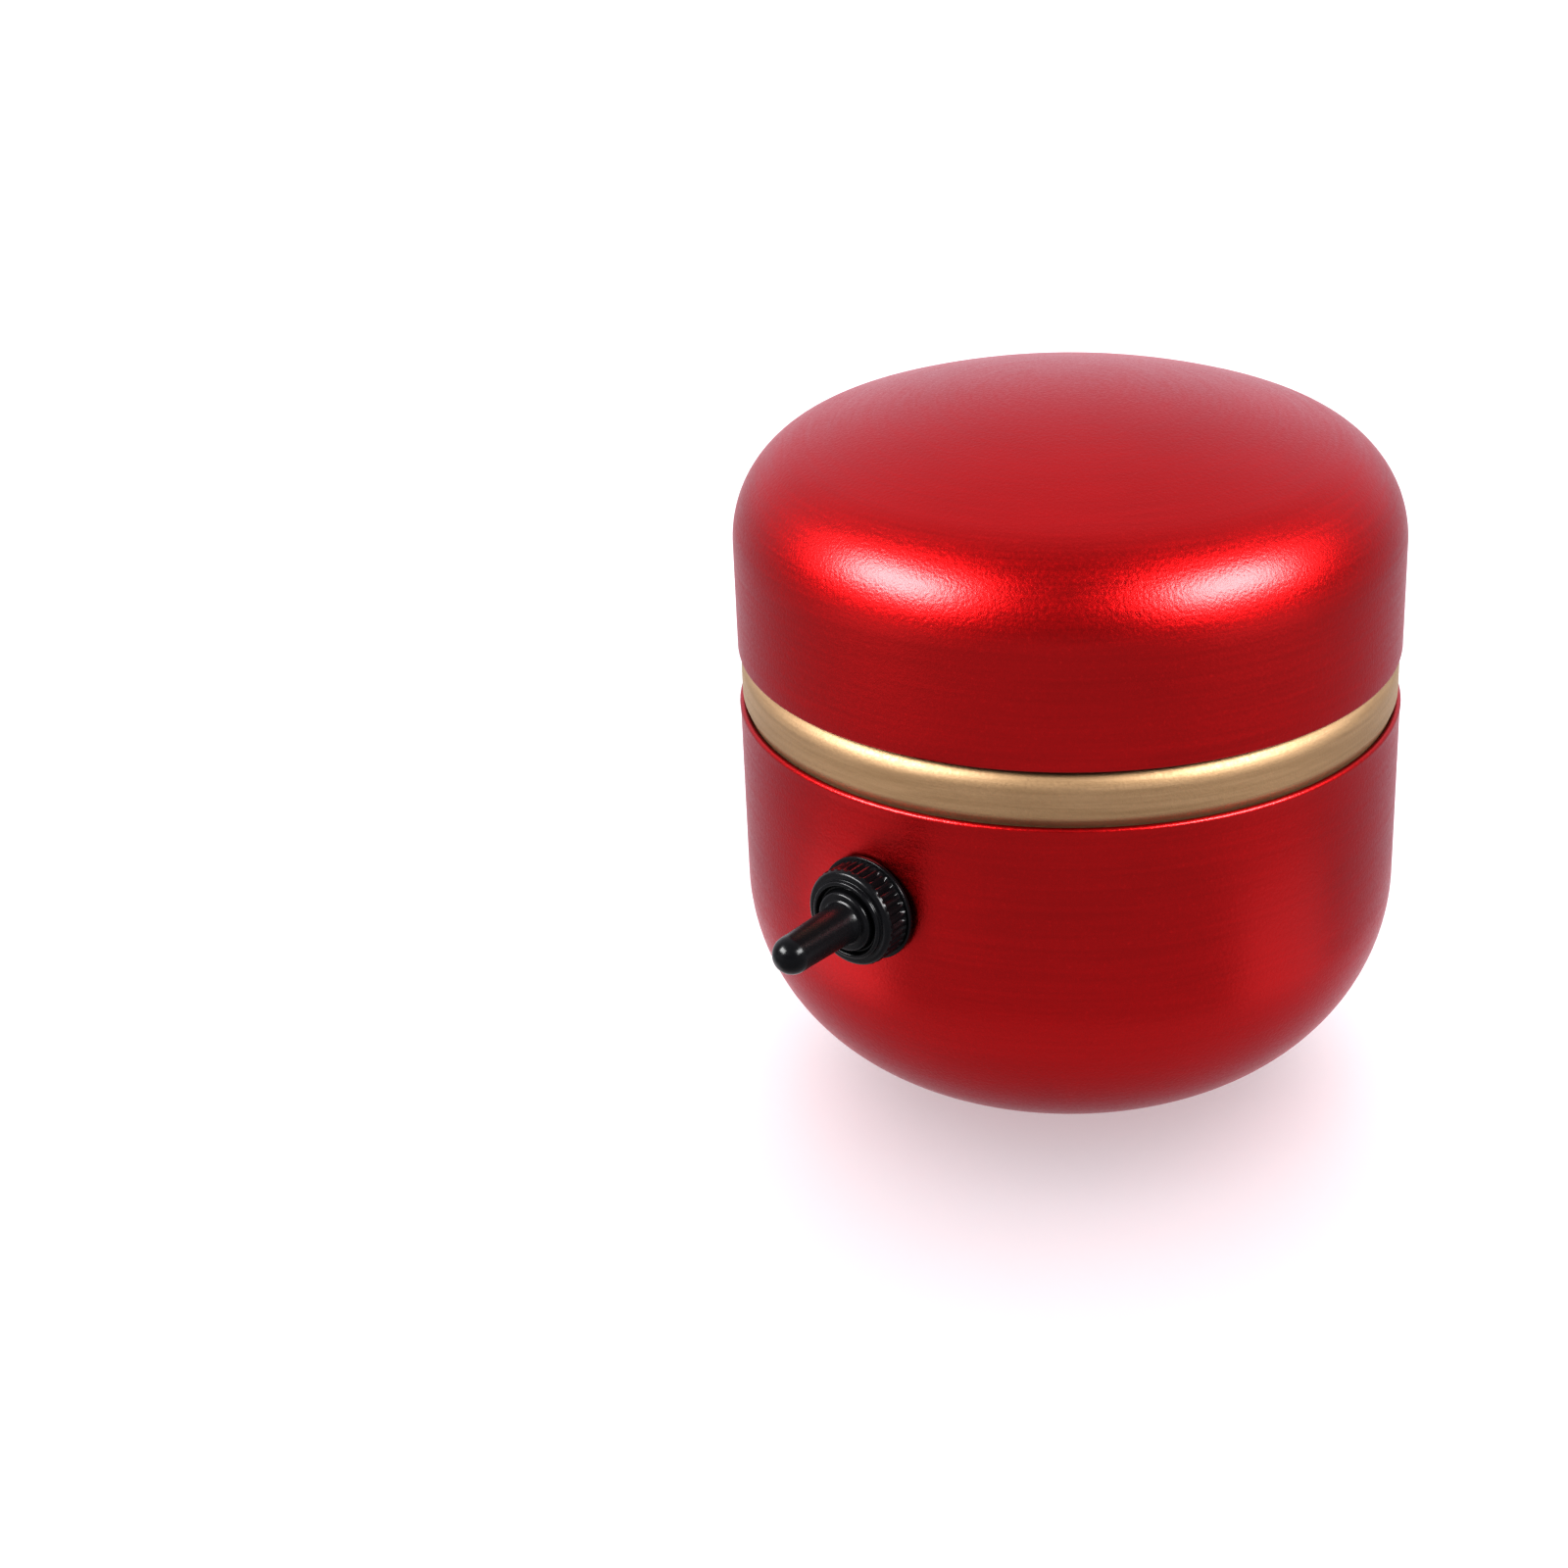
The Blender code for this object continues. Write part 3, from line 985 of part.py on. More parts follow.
# ---- assembly -------------------------------------------------------------------------
def main():
    for piece in list(bpy.data.objects):
        bpy.data.objects.remove(piece, do_unlink=True)
    wheel_axis = add_empty("wheel_axis", (0, 0, 0))
    switch_axis = add_empty("switch_axis", (0, -TIN_RADIUS, SWITCH_Z), (math.pi / 2, 0, 0))
    lever_pivot = add_empty("lever_pivot", (0, -TIN_RADIUS - PIVOT_OUT, SWITCH_Z),
                            (math.pi / 2, 0, 0))
    jack_axis = add_empty("jack_axis", (0, TIN_RADIUS, JACK_Z), (math.pi / 2, 0, math.pi))
    make_tin()
    make_pan()
    make_motor()
    make_rotor(wheel_axis)
    make_wheel(wheel_axis)
    make_switch(switch_axis, lever_pivot)
    make_jack(jack_axis)
    make_wires()


main()
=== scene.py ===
"""The looks of the mini pottery wheel: fine turned shells, a one-piece rubber boot,
procedural finishes, a pale floor and soft studio light, all placed from the CAD frame.
"""

import json
import math

import bmesh
import bpy
from mathutils import Matrix, Vector


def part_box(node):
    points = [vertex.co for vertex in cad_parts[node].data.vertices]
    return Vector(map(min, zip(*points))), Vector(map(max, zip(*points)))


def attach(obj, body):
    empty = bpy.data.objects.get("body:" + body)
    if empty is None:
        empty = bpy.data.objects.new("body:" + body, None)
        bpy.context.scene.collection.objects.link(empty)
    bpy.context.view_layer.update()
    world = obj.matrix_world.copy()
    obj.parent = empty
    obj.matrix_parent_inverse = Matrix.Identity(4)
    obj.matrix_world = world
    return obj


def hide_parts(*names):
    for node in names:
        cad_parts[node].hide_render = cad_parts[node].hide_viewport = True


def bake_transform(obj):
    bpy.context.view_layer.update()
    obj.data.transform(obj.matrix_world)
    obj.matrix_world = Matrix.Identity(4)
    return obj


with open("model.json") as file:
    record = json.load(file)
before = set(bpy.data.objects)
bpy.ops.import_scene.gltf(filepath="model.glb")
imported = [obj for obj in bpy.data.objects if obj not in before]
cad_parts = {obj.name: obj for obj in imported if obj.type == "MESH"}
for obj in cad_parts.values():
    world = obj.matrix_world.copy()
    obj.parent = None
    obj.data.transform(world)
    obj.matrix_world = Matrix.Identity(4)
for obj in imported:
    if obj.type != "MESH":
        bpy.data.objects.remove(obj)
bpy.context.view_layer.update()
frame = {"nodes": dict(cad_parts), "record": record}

MM = 0.001

# ---- camera: the photo's view, measured on the tin's outline --------------------------
CAMERA_AZIMUTH = math.radians(34.5)      # from the switch's side towards +X
CAMERA_ELEVATION = math.radians(23.8)
CAMERA_DISTANCE = 388.2 * MM             # from the middle of the can's rim
CAMERA_LENS = 64.97
CAMERA_SHIFT = (-0.1827, -0.0651)

# ---- shapes that the frame's boxes don't give -----------------------------------------
SHEET = 0.8 * MM
CAN_CORNER = 27.0 * MM
RIM_ROLL = 0.5 * MM
RIM_PROUD = 0.09 * MM                    # how far the rolled rim stands out from the can
LIP_ROUND = 0.3 * MM                     # inner edge of the rolled rim
SWITCH_HOLE = 3.1 * MM
JACK_HOLE = 4.0 * MM
LID_WALL = 15.0 * MM
LID_SHOULDER = 14.1 * MM
LID_DOME = 102.7 * MM
BAND_RECESS = 0.35 * MM
BAND_FLARE = (-0.3 * MM, 1.5 * MM)       # from inside the can's rim up to the band's face
FLARE_STEPS = 12
BAND_ROUND = 3.2 * MM
BAND_TUCK = 2.9 * MM                     # where the round starts, below the lid's edge
COLLAR_WAIST = 42.3 * MM
COLLAR_SHEET = 1.0 * MM
COLLAR_SLOPE = 1.2 * MM
WAIST_DEPTH = 1.6 * MM                   # below the can's rim
NECK_INSET = 0.9 * MM                    # above the lid's edge
LEDGE_THICKNESS = 1.2 * MM
LEDGE_WIDTH = 7.6 * MM
CORNER_ROUND = 0.25 * MM
PAN_SHEET = 1.2 * MM
PAN_WALL = 1.0 * MM
TOWER_RADIUS = 12.5 * MM
TOWER_HEIGHT = 6.5 * MM
PAN_COVE = 1.2 * MM
MOTOR_BOSS = 5.3 * MM
SHAFT_BORE = 1.2 * MM
HUB_RADIUS = 5.0 * MM
HUB_FLANGE = 1.7 * MM
HUB_ROUND = 0.3 * MM
HUB_BORE_ROOM = 0.3 * MM                 # above the shaft's end
GRUB_HOLE = 1.35 * MM
SKIRT_WALL = 1.3 * MM
GROOVE_DEPTH = 0.3 * MM
GROOVES = (8.0 * MM, 16.0 * MM, 24.0 * MM)
GROOVE_BREAK = 2.2 * GROOVE_DEPTH        # from a groove's middle to the flat beside it
HEAD_TOP_ROUND = 0.8 * MM
HEAD_LOW_ROUND = 0.4 * MM
SINK_DEPTH = 1.6 * MM
SINK_RADIUS = 2.0 * MM
SCREW_HOLE = 1.1 * MM
MOTOR_SCREW_HOLE = 1.6 * MM
PAN_SCREW = (1.0 * MM, 1.9 * MM, 1.2 * MM)       # shank radius, head radius, head height
WHEEL_SCREW = (1.0 * MM, 1.9 * MM, 1.1 * MM)
MOTOR_SCREW = (1.5 * MM, 2.6 * MM, 1.6 * MM)
THREAD_PITCH = 0.4 * MM
THREAD_ROOT = 0.86                       # share of the shank's radius
RECESS_TURN = 0.3                        # radians
BOOT_RIBS = 36
CUT_OVER = 1.0 * MM                      # how far a cutter runs past what it cuts

SHARP_ANGLE = math.radians(30)
FINE_STEPS = 192
MIDDLE_STEPS = 128
SMALL_STEPS = 64
SCREW_STEPS = 40
HOLE_STEPS = 32
WALL_RINGS = 6

# ---- lights ---------------------------------------------------------------------------
SOFTBOX = (0.75, (0.45, 0.26), 15.5)     # distance, size, power
BOUNCE = (0.25, (0.16, 0.16), 0.035)
PATCH_DISTANCE = 0.075
PATCH_SIZE = (0.04, 0.04)
GLOW_SIZE = 0.16
GLOW_POWER = 0.019
CARD_HEIGHT = 2.0 * MM
GLOW_HEIGHT = 0.6 * MM

# ---- places read from the frame -------------------------------------------------------
can_low, can_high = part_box("body_shell")
lid_low, lid_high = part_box("lid_shell")
collar_low, collar_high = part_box("gold_collar")
pan_low, pan_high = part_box("splash_pan")
head_low, head_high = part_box("wheel_head")
hub_low, hub_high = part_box("wheel_hub")
foot_low, foot_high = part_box("foot_pad")
gasket_low, gasket_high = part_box("lid_gasket")
boot_low, boot_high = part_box("boot_base")
jack_low, jack_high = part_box("jack_housing")
shaft_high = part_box("motor_shaft")[1]

TIN_RADIUS = lid_high.x
CAN_INNER = TIN_RADIUS - SHEET
RIM_Z = can_high.z
SKIRT_RADIUS = gasket_high.x             # the collar where it fits inside can and lid
SWITCH_Z = (boot_low.z + boot_high.z) / 2
JACK_Z = (jack_low.z + jack_high.z) / 2


# ---- small tools ----------------------------------------------------------------------
def arc(centre, radius, start, end, steps):
    """Points (radius, height) along a circular arc, angles in degrees."""
    points = []
    for step in range(steps + 1):
        angle = math.radians(start + (end - start) * step / steps)
        points.append((centre[0] + radius * math.cos(angle),
                       centre[1] + radius * math.sin(angle)))
    return points


def rounded(corners, radius, steps=4, closed=True):
    """A profile whose corners are rounded with short curves."""
    made = []
    count = len(corners)
    for i, corner in enumerate(corners):
        here = Vector(corner)
        if not closed and i in (0, count - 1):
            made.append(tuple(here))
            continue
        before = Vector(corners[i - 1]) - here
        after = Vector(corners[(i + 1) % count]) - here
        size = min(radius, before.length * 0.45, after.length * 0.45)
        first = here + before.normalized() * size
        last = here + after.normalized() * size
        for step in range(steps + 1):
            t = step / steps
            made.append(tuple(first * (1 - t) ** 2 + here * 2 * t * (1 - t) + last * t * t))
    return made


def spun(profile, steps=FINE_STEPS):
    """Spin (radius, height) points about Z; ends on the axis make a solid, else a ring."""
    bm = bmesh.new()
    verts = [bm.verts.new((r, 0.0, z)) for r, z in profile]
    edges = [bm.edges.new(pair) for pair in zip(verts, verts[1:])]
    if profile[0][0] > 0.0 or profile[-1][0] > 0.0:
        edges.append(bm.edges.new((verts[-1], verts[0])))
    bmesh.ops.spin(bm, geom=verts + edges, cent=(0, 0, 0), axis=(0, 0, 1),
                   angle=2 * math.pi, steps=steps, use_merge=True)
    bmesh.ops.remove_doubles(bm, verts=bm.verts, dist=1e-7)
    bmesh.ops.recalc_face_normals(bm, faces=bm.faces)
    return bm


def add_piece(name, bm, place=None):
    """Make a smooth-shaded object from a bmesh, its placement worked into the mesh."""
    mesh = bpy.data.meshes.new(name)
    if place is not None:
        bmesh.ops.transform(bm, matrix=place, verts=bm.verts)
    bmesh.ops.recalc_face_normals(bm, faces=bm.faces)
    bm.to_mesh(mesh)
    bm.free()
    mesh.shade_smooth()
    mesh.set_sharp_from_angle(angle=SHARP_ANGLE)
    piece = bpy.data.objects.new(name, mesh)
    bpy.context.scene.collection.objects.link(piece)
    return piece


def cylinder(bm, radius, low, high, steps=48, centre=(0, 0)):
    """Add a closed cylinder along Z to a bmesh."""
    made = bmesh.ops.create_cone(bm, cap_ends=True, segments=steps,
                                 radius1=radius, radius2=radius, depth=high - low)
    bmesh.ops.translate(bm, verts=made["verts"],
                        vec=(centre[0], centre[1], (low + high) / 2))


def cut(piece, bm, place=None):
    """Cut a shape out of a piece and keep the result as its mesh."""
    tool = add_piece("cutter", bm, place)
    change = piece.modifiers.new("cut", "BOOLEAN")
    change.object = tool
    bpy.context.view_layer.update()
    evaluated = piece.evaluated_get(bpy.context.evaluated_depsgraph_get())
    mesh = bpy.data.meshes.new_from_object(evaluated)
    piece.modifiers.clear()
    piece.data = mesh
    mesh.shade_smooth()
    mesh.set_sharp_from_angle(angle=SHARP_ANGLE)
    bpy.data.objects.remove(tool, do_unlink=True)


def stand_for(piece, finish, slot, body, *nodes):
    """Give a piece its finish and let it stand for CAD nodes on one body."""
    piece.data.materials.clear()
    piece.data.materials.append(finish)
    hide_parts(*nodes)
    if body is not None:
        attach(piece, body)


def node_axis(name):
    """Middle of a CAD node's box."""
    low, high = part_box(name)
    return (low + high) / 2


def add_screw_holes(bm, kind, count, radius, low, high, steps=HOLE_STEPS):
    """Add a cylinder to a bmesh on the axis of each screw of one kind."""
    for number in range(1, count + 1):
        middle = node_axis("%s_%d" % (kind, number))
        cylinder(bm, radius, low, high, steps, (middle.x, middle.y))


SWITCH_PLACE = (Matrix.Translation((0, -TIN_RADIUS, SWITCH_Z))
                @ Matrix.Rotation(math.pi / 2, 4, "X"))
JACK_PLACE = (Matrix.Translation((0, TIN_RADIUS, JACK_Z)) @ Matrix.Rotation(math.pi, 4, "Z")
              @ Matrix.Rotation(math.pi / 2, 4, "X"))


# ---- finishes -------------------------------------------------------------------------
class Finish:
    """A material under construction: a Principled BSDF and the nodes that feed it."""

    def __init__(self, name, **constants):
        self.material = bpy.data.materials.new(name)
        self.material.use_nodes = True
        self.nodes = self.material.node_tree.nodes
        self.links = self.material.node_tree.links
        self.shader = self.nodes["Principled BSDF"]
        for socket, value in constants.items():
            self.shader.inputs[socket.replace("_", " ")].default_value = value
        self.place = self.nodes.new("ShaderNodeTexCoord").outputs["Object"]

    def node(self, kind, inputs=None, **settings):
        made = self.nodes.new("ShaderNode" + kind)
        for name, value in settings.items():
            setattr(made, name, value)
        for key, value in (inputs or {}).items():
            if isinstance(value, bpy.types.NodeSocket):
                self.links.new(value, made.inputs[key])
            else:
                made.inputs[key].default_value = value
        return made

    def math(self, operation, a, b):
        return self.node("Math", {0: a, 1: b}, operation=operation).outputs[0]

    def noise(self, scale, detail=2.0, roughness=0.5):
        """Noise whose cells are 1/scale metres across."""
        return self.node("TexNoise", {"Vector": self.place, "Scale": scale,
                                      "Detail": detail, "Roughness": roughness}
                         ).outputs["Fac"]

    def remap(self, value, low, high, to_low=0.0, to_high=1.0):
        return self.node("MapRange", {"Value": value, "From Min": low, "From Max": high,
                                      "To Min": to_low, "To Max": to_high}
                         ).outputs["Result"]

    def mix(self, factor, one, two):
        mixer = self.node("Mix", {"Factor": factor}, data_type="RGBA")
        for index, value in ((6, one), (7, two)):
            if isinstance(value, bpy.types.NodeSocket):
                self.links.new(value, mixer.inputs[index])
            else:
                mixer.inputs[index].default_value = (*value, 1.0)
        return mixer.outputs[2]

    def height(self):
        return self.node("SeparateXYZ", {0: self.place}).outputs["Z"]

    def radius(self):
        """Distance from the wheel's axis."""
        flat = self.node("VectorMath", {0: self.place, 1: (1.0, 1.0, 0.0)},
                         operation="MULTIPLY").outputs["Vector"]
        return self.node("VectorMath", {0: flat}, operation="LENGTH").outputs["Value"]

    def turning(self, across, along):
        """Noise drawn out round the wheel's axis, as lathe or spinning marks are."""
        flat = self.node("VectorMath", {0: self.place, 1: (1.0, 1.0, 0.0)},
                         operation="MULTIPLY").outputs["Vector"]
        ring = self.node("VectorMath", {0: flat}, operation="NORMALIZE").outputs["Vector"]
        ring = self.node("VectorMath", {0: ring, 3: along},
                         operation="SCALE").outputs["Vector"]
        lift = self.math("MULTIPLY", self.height(), across)
        lift = self.node("CombineXYZ", {"Z": lift}).outputs["Vector"]
        vector = self.node("VectorMath", {0: ring, 1: lift}, operation="ADD").outputs[0]
        w = self.math("MULTIPLY", self.radius(), across)
        return self.node("TexNoise", {"Vector": vector, "W": w, "Scale": 1.0,
                                      "Detail": 3.0, "Roughness": 0.6},
                         noise_dimensions="4D").outputs["Fac"]

    def bump(self, *layers):
        """Stack of (height, depth in metres) layers on the shader's normal."""
        normal = None
        for height, depth in layers:
            made = self.node("Bump", {"Height": height, "Distance": depth,
                                      "Strength": 1.0})
            if normal is not None:
                self.links.new(normal, made.inputs["Normal"])
            normal = made.outputs["Normal"]
        self.links.new(normal, self.shader.inputs["Normal"])
        if self.shader.inputs["Coat Weight"].default_value > 0.0:
            self.links.new(normal, self.shader.inputs["Coat Normal"])
        return self

    def feed(self, socket, value):
        self.links.new(value, self.shader.inputs[socket])
        return self


def red_anodised():
    """Satin red anodising over spun, finely blasted aluminium."""
    f = Finish("red_anodised", Metallic=1.0, Specular_Tint=(0.72, 0.74, 0.78, 1.0),
               Coat_Weight=0.08, Coat_Roughness=0.27, Coat_IOR=2.4)
    grain = f.noise(2300, 3.0, 0.6)
    patches = f.noise(38, 2.0)
    lines = f.turning(1900, 2.2)
    tone = f.math("ADD", f.math("MULTIPLY", patches, 0.55), f.math("MULTIPLY", lines, 0.45))
    base = f.mix(f.remap(tone, 0.35, 0.65), (0.235, 0.0010, 0.0020), (0.27, 0.0016, 0.0030))
    base = f.mix(f.remap(grain, 0.62, 0.8, 0.0, 0.35), base, (0.40, 0.01, 0.01))
    rough = f.math("ADD", f.remap(grain, 0.3, 0.7, 0.32, 0.41),
                   f.remap(lines, 0.3, 0.7, -0.03, 0.03))
    f.feed("Base Color", base).feed("Roughness", rough)
    return f.bump((lines, 0.0000015), (grain, 0.000042)).material


def gold_anodised():
    """Pale gold satin anodising, finely blasted."""
    f = Finish("gold_anodised", Metallic=0.9)
    grain = f.noise(2600, 3.0, 0.6)
    lines = f.turning(1600, 3.0)
    base = f.mix(f.remap(lines, 0.35, 0.65), (0.180, 0.121, 0.069), (0.215, 0.147, 0.087))
    f.feed("Base Color", base)
    f.feed("Roughness", f.remap(grain, 0.3, 0.7, 0.48, 0.60))
    return f.bump((lines, 0.000005), (grain, 0.000022)).material


def turned_metal(name, base, worn, roughness, marks=1500):
    """Bright metal with fine turning marks round the wheel's axis."""
    f = Finish(name, Metallic=1.0)
    lines = f.turning(marks, 1.2)
    broad = f.turning(marks / 9, 1.5)
    smear = f.noise(60, 3.0)
    tone = f.math("ADD", f.math("MULTIPLY", lines, 0.5), f.math("MULTIPLY", broad, 0.5))
    f.feed("Base Color", f.mix(f.remap(tone, 0.3, 0.7), base, worn))
    f.feed("Roughness", f.math("ADD", f.remap(lines, 0.3, 0.7, roughness - 0.07,
                                              roughness + 0.07),
                               f.remap(smear, 0.35, 0.7, -0.03, 0.06)))
    return f.bump((broad, 0.000010), (lines, 0.000008)).material


def plated_metal(name, base, worn, roughness):
    """Plated or drawn metal: fine grain, cloudy tone and light scuffs."""
    f = Finish(name, Metallic=1.0)
    grain = f.noise(3000, 3.0)
    cloud = f.noise(260, 3.0)
    f.feed("Base Color", f.mix(f.remap(cloud, 0.35, 0.7), base, worn))
    f.feed("Roughness", f.remap(grain, 0.3, 0.7, roughness - 0.06, roughness + 0.08))
    return f.bump((grain, 0.000008)).material


def moulded(name, base, second, roughness, grain_depth=0.000010, **constants):
    """Moulded plastic or rubber: fine skin grain and slight colour clouds."""
    f = Finish(name, **constants)
    grain = f.noise(2500, 3.0)
    cloud = f.noise(120, 3.0)
    f.feed("Base Color", f.mix(f.remap(cloud, 0.3, 0.7), base, second))
    f.feed("Roughness", f.math("ADD", f.remap(grain, 0.3, 0.7, roughness - 0.05,
                                              roughness + 0.05),
                               f.remap(cloud, 0.3, 0.7, -0.03, 0.03)))
    return f.bump((grain, grain_depth)).material


FINISHES = {
    "red_anodised": red_anodised(),
    "gold_anodised": gold_anodised(),
    "black_rubber": moulded("black_rubber", (0.003, 0.003, 0.0035), (0.0045, 0.0045, 0.005),
                            0.25, 0.000005, Specular_IOR_Level=0.12),
    "foot_rubber": moulded("foot_rubber", (0.016, 0.016, 0.016), (0.030, 0.029, 0.028),
                           0.72, 0.000020),
    "gasket_rubber": moulded("gasket_rubber", (0.42, 0.41, 0.385), (0.48, 0.47, 0.445), 0.5),
    "pan_plastic": moulded("pan_plastic", (0.40, 0.395, 0.375), (0.45, 0.445, 0.425), 0.36),
    "aluminium": turned_metal("aluminium", (0.34, 0.345, 0.35), (0.44, 0.445, 0.45), 0.32),
    "hub_aluminium": turned_metal("hub_aluminium", (0.32, 0.32, 0.32), (0.42, 0.42, 0.42),
                                  0.34),
    "screw_steel": plated_metal("screw_steel", (0.30, 0.30, 0.295), (0.42, 0.42, 0.41), 0.28),
    "motor_steel": plated_metal("motor_steel", (0.34, 0.345, 0.35), (0.44, 0.44, 0.43), 0.36),
    "switch_steel": plated_metal("switch_steel", (0.40, 0.395, 0.38), (0.50, 0.49, 0.47),
                                 0.22),
    "core_steel": plated_metal("core_steel", (0.20, 0.20, 0.20), (0.30, 0.29, 0.28), 0.5),
    "ferrite": moulded("ferrite", (0.05, 0.05, 0.052), (0.08, 0.08, 0.08), 0.6),
    "brass": plated_metal("brass", (0.60, 0.42, 0.17), (0.70, 0.52, 0.24), 0.3),
    "copper": plated_metal("copper", (0.62, 0.26, 0.13), (0.74, 0.36, 0.20), 0.3),
    "dark_plastic": moulded("dark_plastic", (0.018, 0.018, 0.019), (0.028, 0.028, 0.029),
                            0.42),
    "switch_plastic": moulded("switch_plastic", (0.016, 0.07, 0.25), (0.024, 0.10, 0.32),
                              0.38),
    "red_wire": moulded("red_wire", (0.42, 0.014, 0.014), (0.52, 0.022, 0.020), 0.42),
    "black_wire": moulded("black_wire", (0.014, 0.014, 0.014), (0.024, 0.024, 0.024), 0.42),
}


# ---- tin ------------------------------------------------------------------------------
def make_lid():
    """Domed lid, with a softly rounded edge."""
    shoulder_r = TIN_RADIUS - LID_SHOULDER
    shoulder_z = lid_low.z + LID_WALL
    meet = math.degrees(math.acos(shoulder_r / (LID_DOME - LID_SHOULDER)))
    dome_z = shoulder_z - shoulder_r * math.tan(math.radians(meet))
    outside = arc((shoulder_r, shoulder_z), LID_SHOULDER, 0, meet, 28)
    outside += arc((0.0, dome_z), LID_DOME, meet, 90, 22)[1:-1]
    inside = arc((0.0, dome_z), LID_DOME - SHEET, 90, meet, 12)[1:-1]
    inside += arc((shoulder_r, shoulder_z), LID_SHOULDER - SHEET, meet, 0, 16)
    walls = [(TIN_RADIUS, lid_low.z + LID_WALL * step / WALL_RINGS)
             for step in range(1, WALL_RINGS)]
    half = SHEET / 2
    edge = arc((TIN_RADIUS - half, lid_low.z + half), half, 180, 360, 8)
    profile = [(0.0, dome_z + LID_DOME - SHEET)] + inside + edge + walls + outside
    profile.append((0.0, dome_z + LID_DOME))
    lid = add_piece("lid", spun(profile))
    stand_for(lid, FINISHES["red_anodised"], "red_anodised", "lid", "lid_shell")


def make_can():
    """Round-bottomed can with a rolled rim and the two holes for switch and socket."""
    corner_r = TIN_RADIUS - CAN_CORNER
    corner_z = can_low.z + CAN_CORNER
    outside = arc((corner_r, corner_z), CAN_CORNER, -90, 0, 40)
    inside = arc((corner_r, corner_z), CAN_CORNER - SHEET, 0, -90, 24)
    wall_top = RIM_Z - 4 * RIM_ROLL
    walls = [(TIN_RADIUS, corner_z + (wall_top - corner_z) * step / WALL_RINGS)
             for step in range(1, WALL_RINGS + 1)]
    roll_r = TIN_RADIUS + RIM_PROUD - RIM_ROLL
    roll = arc((roll_r, RIM_Z - RIM_ROLL), RIM_ROLL, -10, 90, 12)
    roll += arc((CAN_INNER + LIP_ROUND, RIM_Z - LIP_ROUND), LIP_ROUND, 90, 180, 6)
    profile = ([(0.0, can_low.z)] + outside + walls + roll + inside
               + [(0.0, can_low.z + SHEET)])
    can = add_piece("can", spun(profile))
    for radius, place in ((SWITCH_HOLE, SWITCH_PLACE), (JACK_HOLE, JACK_PLACE)):
        hole = bmesh.new()
        cylinder(hole, radius, -5 * MM, 5 * MM)
        cut(can, hole, place)
    stand_for(can, FINISHES["red_anodised"], "red_anodised", "root", "body_shell")


def make_collar():
    """Gold collar: skirt and ledge in the can, flat-faced band, neck for the lid."""
    face = TIN_RADIUS - BAND_RECESS
    flare_low, flare_high = BAND_FLARE
    lean = math.degrees(math.acos((COLLAR_WAIST - face + BAND_ROUND) / BAND_ROUND))
    outer = SKIRT_RADIUS
    inner = COLLAR_WAIST - COLLAR_SHEET
    skirt_inner = outer - COLLAR_SHEET
    ledge_inner = skirt_inner - LEDGE_WIDTH
    ledge_top = collar_low.z + LEDGE_THICKNESS
    waist_low = RIM_Z - WAIST_DEPTH
    neck_z = lid_low.z + NECK_INSET
    lower = rounded([(ledge_inner, collar_low.z), (outer, collar_low.z),
                     (outer, RIM_Z + flare_low)], CORNER_ROUND, closed=False)
    band = []
    for step in range(1, FLARE_STEPS + 1):
        t = step / FLARE_STEPS
        band.append((outer + (face - outer) * t * t * (3 - 2 * t),
                     RIM_Z + flare_low + (flare_high - flare_low) * t))
    band += arc((face - BAND_ROUND, lid_low.z - BAND_TUCK), BAND_ROUND, 0, lean, 24)
    upper = rounded([band[-1], (COLLAR_WAIST, neck_z), (outer, neck_z + COLLAR_SLOPE),
                     (outer, collar_high.z), (inner, collar_high.z),
                     (inner, waist_low - COLLAR_SHEET / 2),
                     (skirt_inner, waist_low - COLLAR_SLOPE - COLLAR_SHEET),
                     (skirt_inner, ledge_top), (ledge_inner, ledge_top)],
                    CORNER_ROUND, closed=False)[1:]
    collar = add_piece("collar", spun(lower + band + upper))
    holes = bmesh.new()
    add_screw_holes(holes, "pan_screw", 3, SCREW_HOLE, collar_low.z - 2 * CUT_OVER,
                    collar_low.z + 3 * CUT_OVER)
    cut(collar, holes)
    stand_for(collar, FINISHES["gold_anodised"], "gold_anodised", "root", "gold_collar")


def make_foot():
    """Rubber disc with a rounded edge."""
    edge = rounded([(0.0, foot_high.z), (foot_high.x, foot_high.z),
                    (foot_high.x, foot_low.z), (0.0, foot_low.z)], 0.35 * MM, 5, False)
    foot = add_piece("foot", spun(edge, MIDDLE_STEPS))
    stand_for(foot, FINISHES["foot_rubber"], "foot_rubber", "root", "foot_pad")


def make_gasket():
    """Ring inside the lid with two soft lips on its outer side."""
    inner = COLLAR_WAIST - COLLAR_SHEET
    outer = SKIRT_RADIUS
    middle = (gasket_low.z + gasket_high.z) / 2
    dip = 0.35 * MM
    ring = rounded([(inner, gasket_low.z), (outer, gasket_low.z), (outer - dip, middle),
                    (outer, gasket_high.z), (inner, gasket_high.z)], CORNER_ROUND)
    gasket = add_piece("gasket", spun(ring))
    stand_for(gasket, FINISHES["gasket_rubber"], "gasket_rubber", "lid", "lid_gasket")


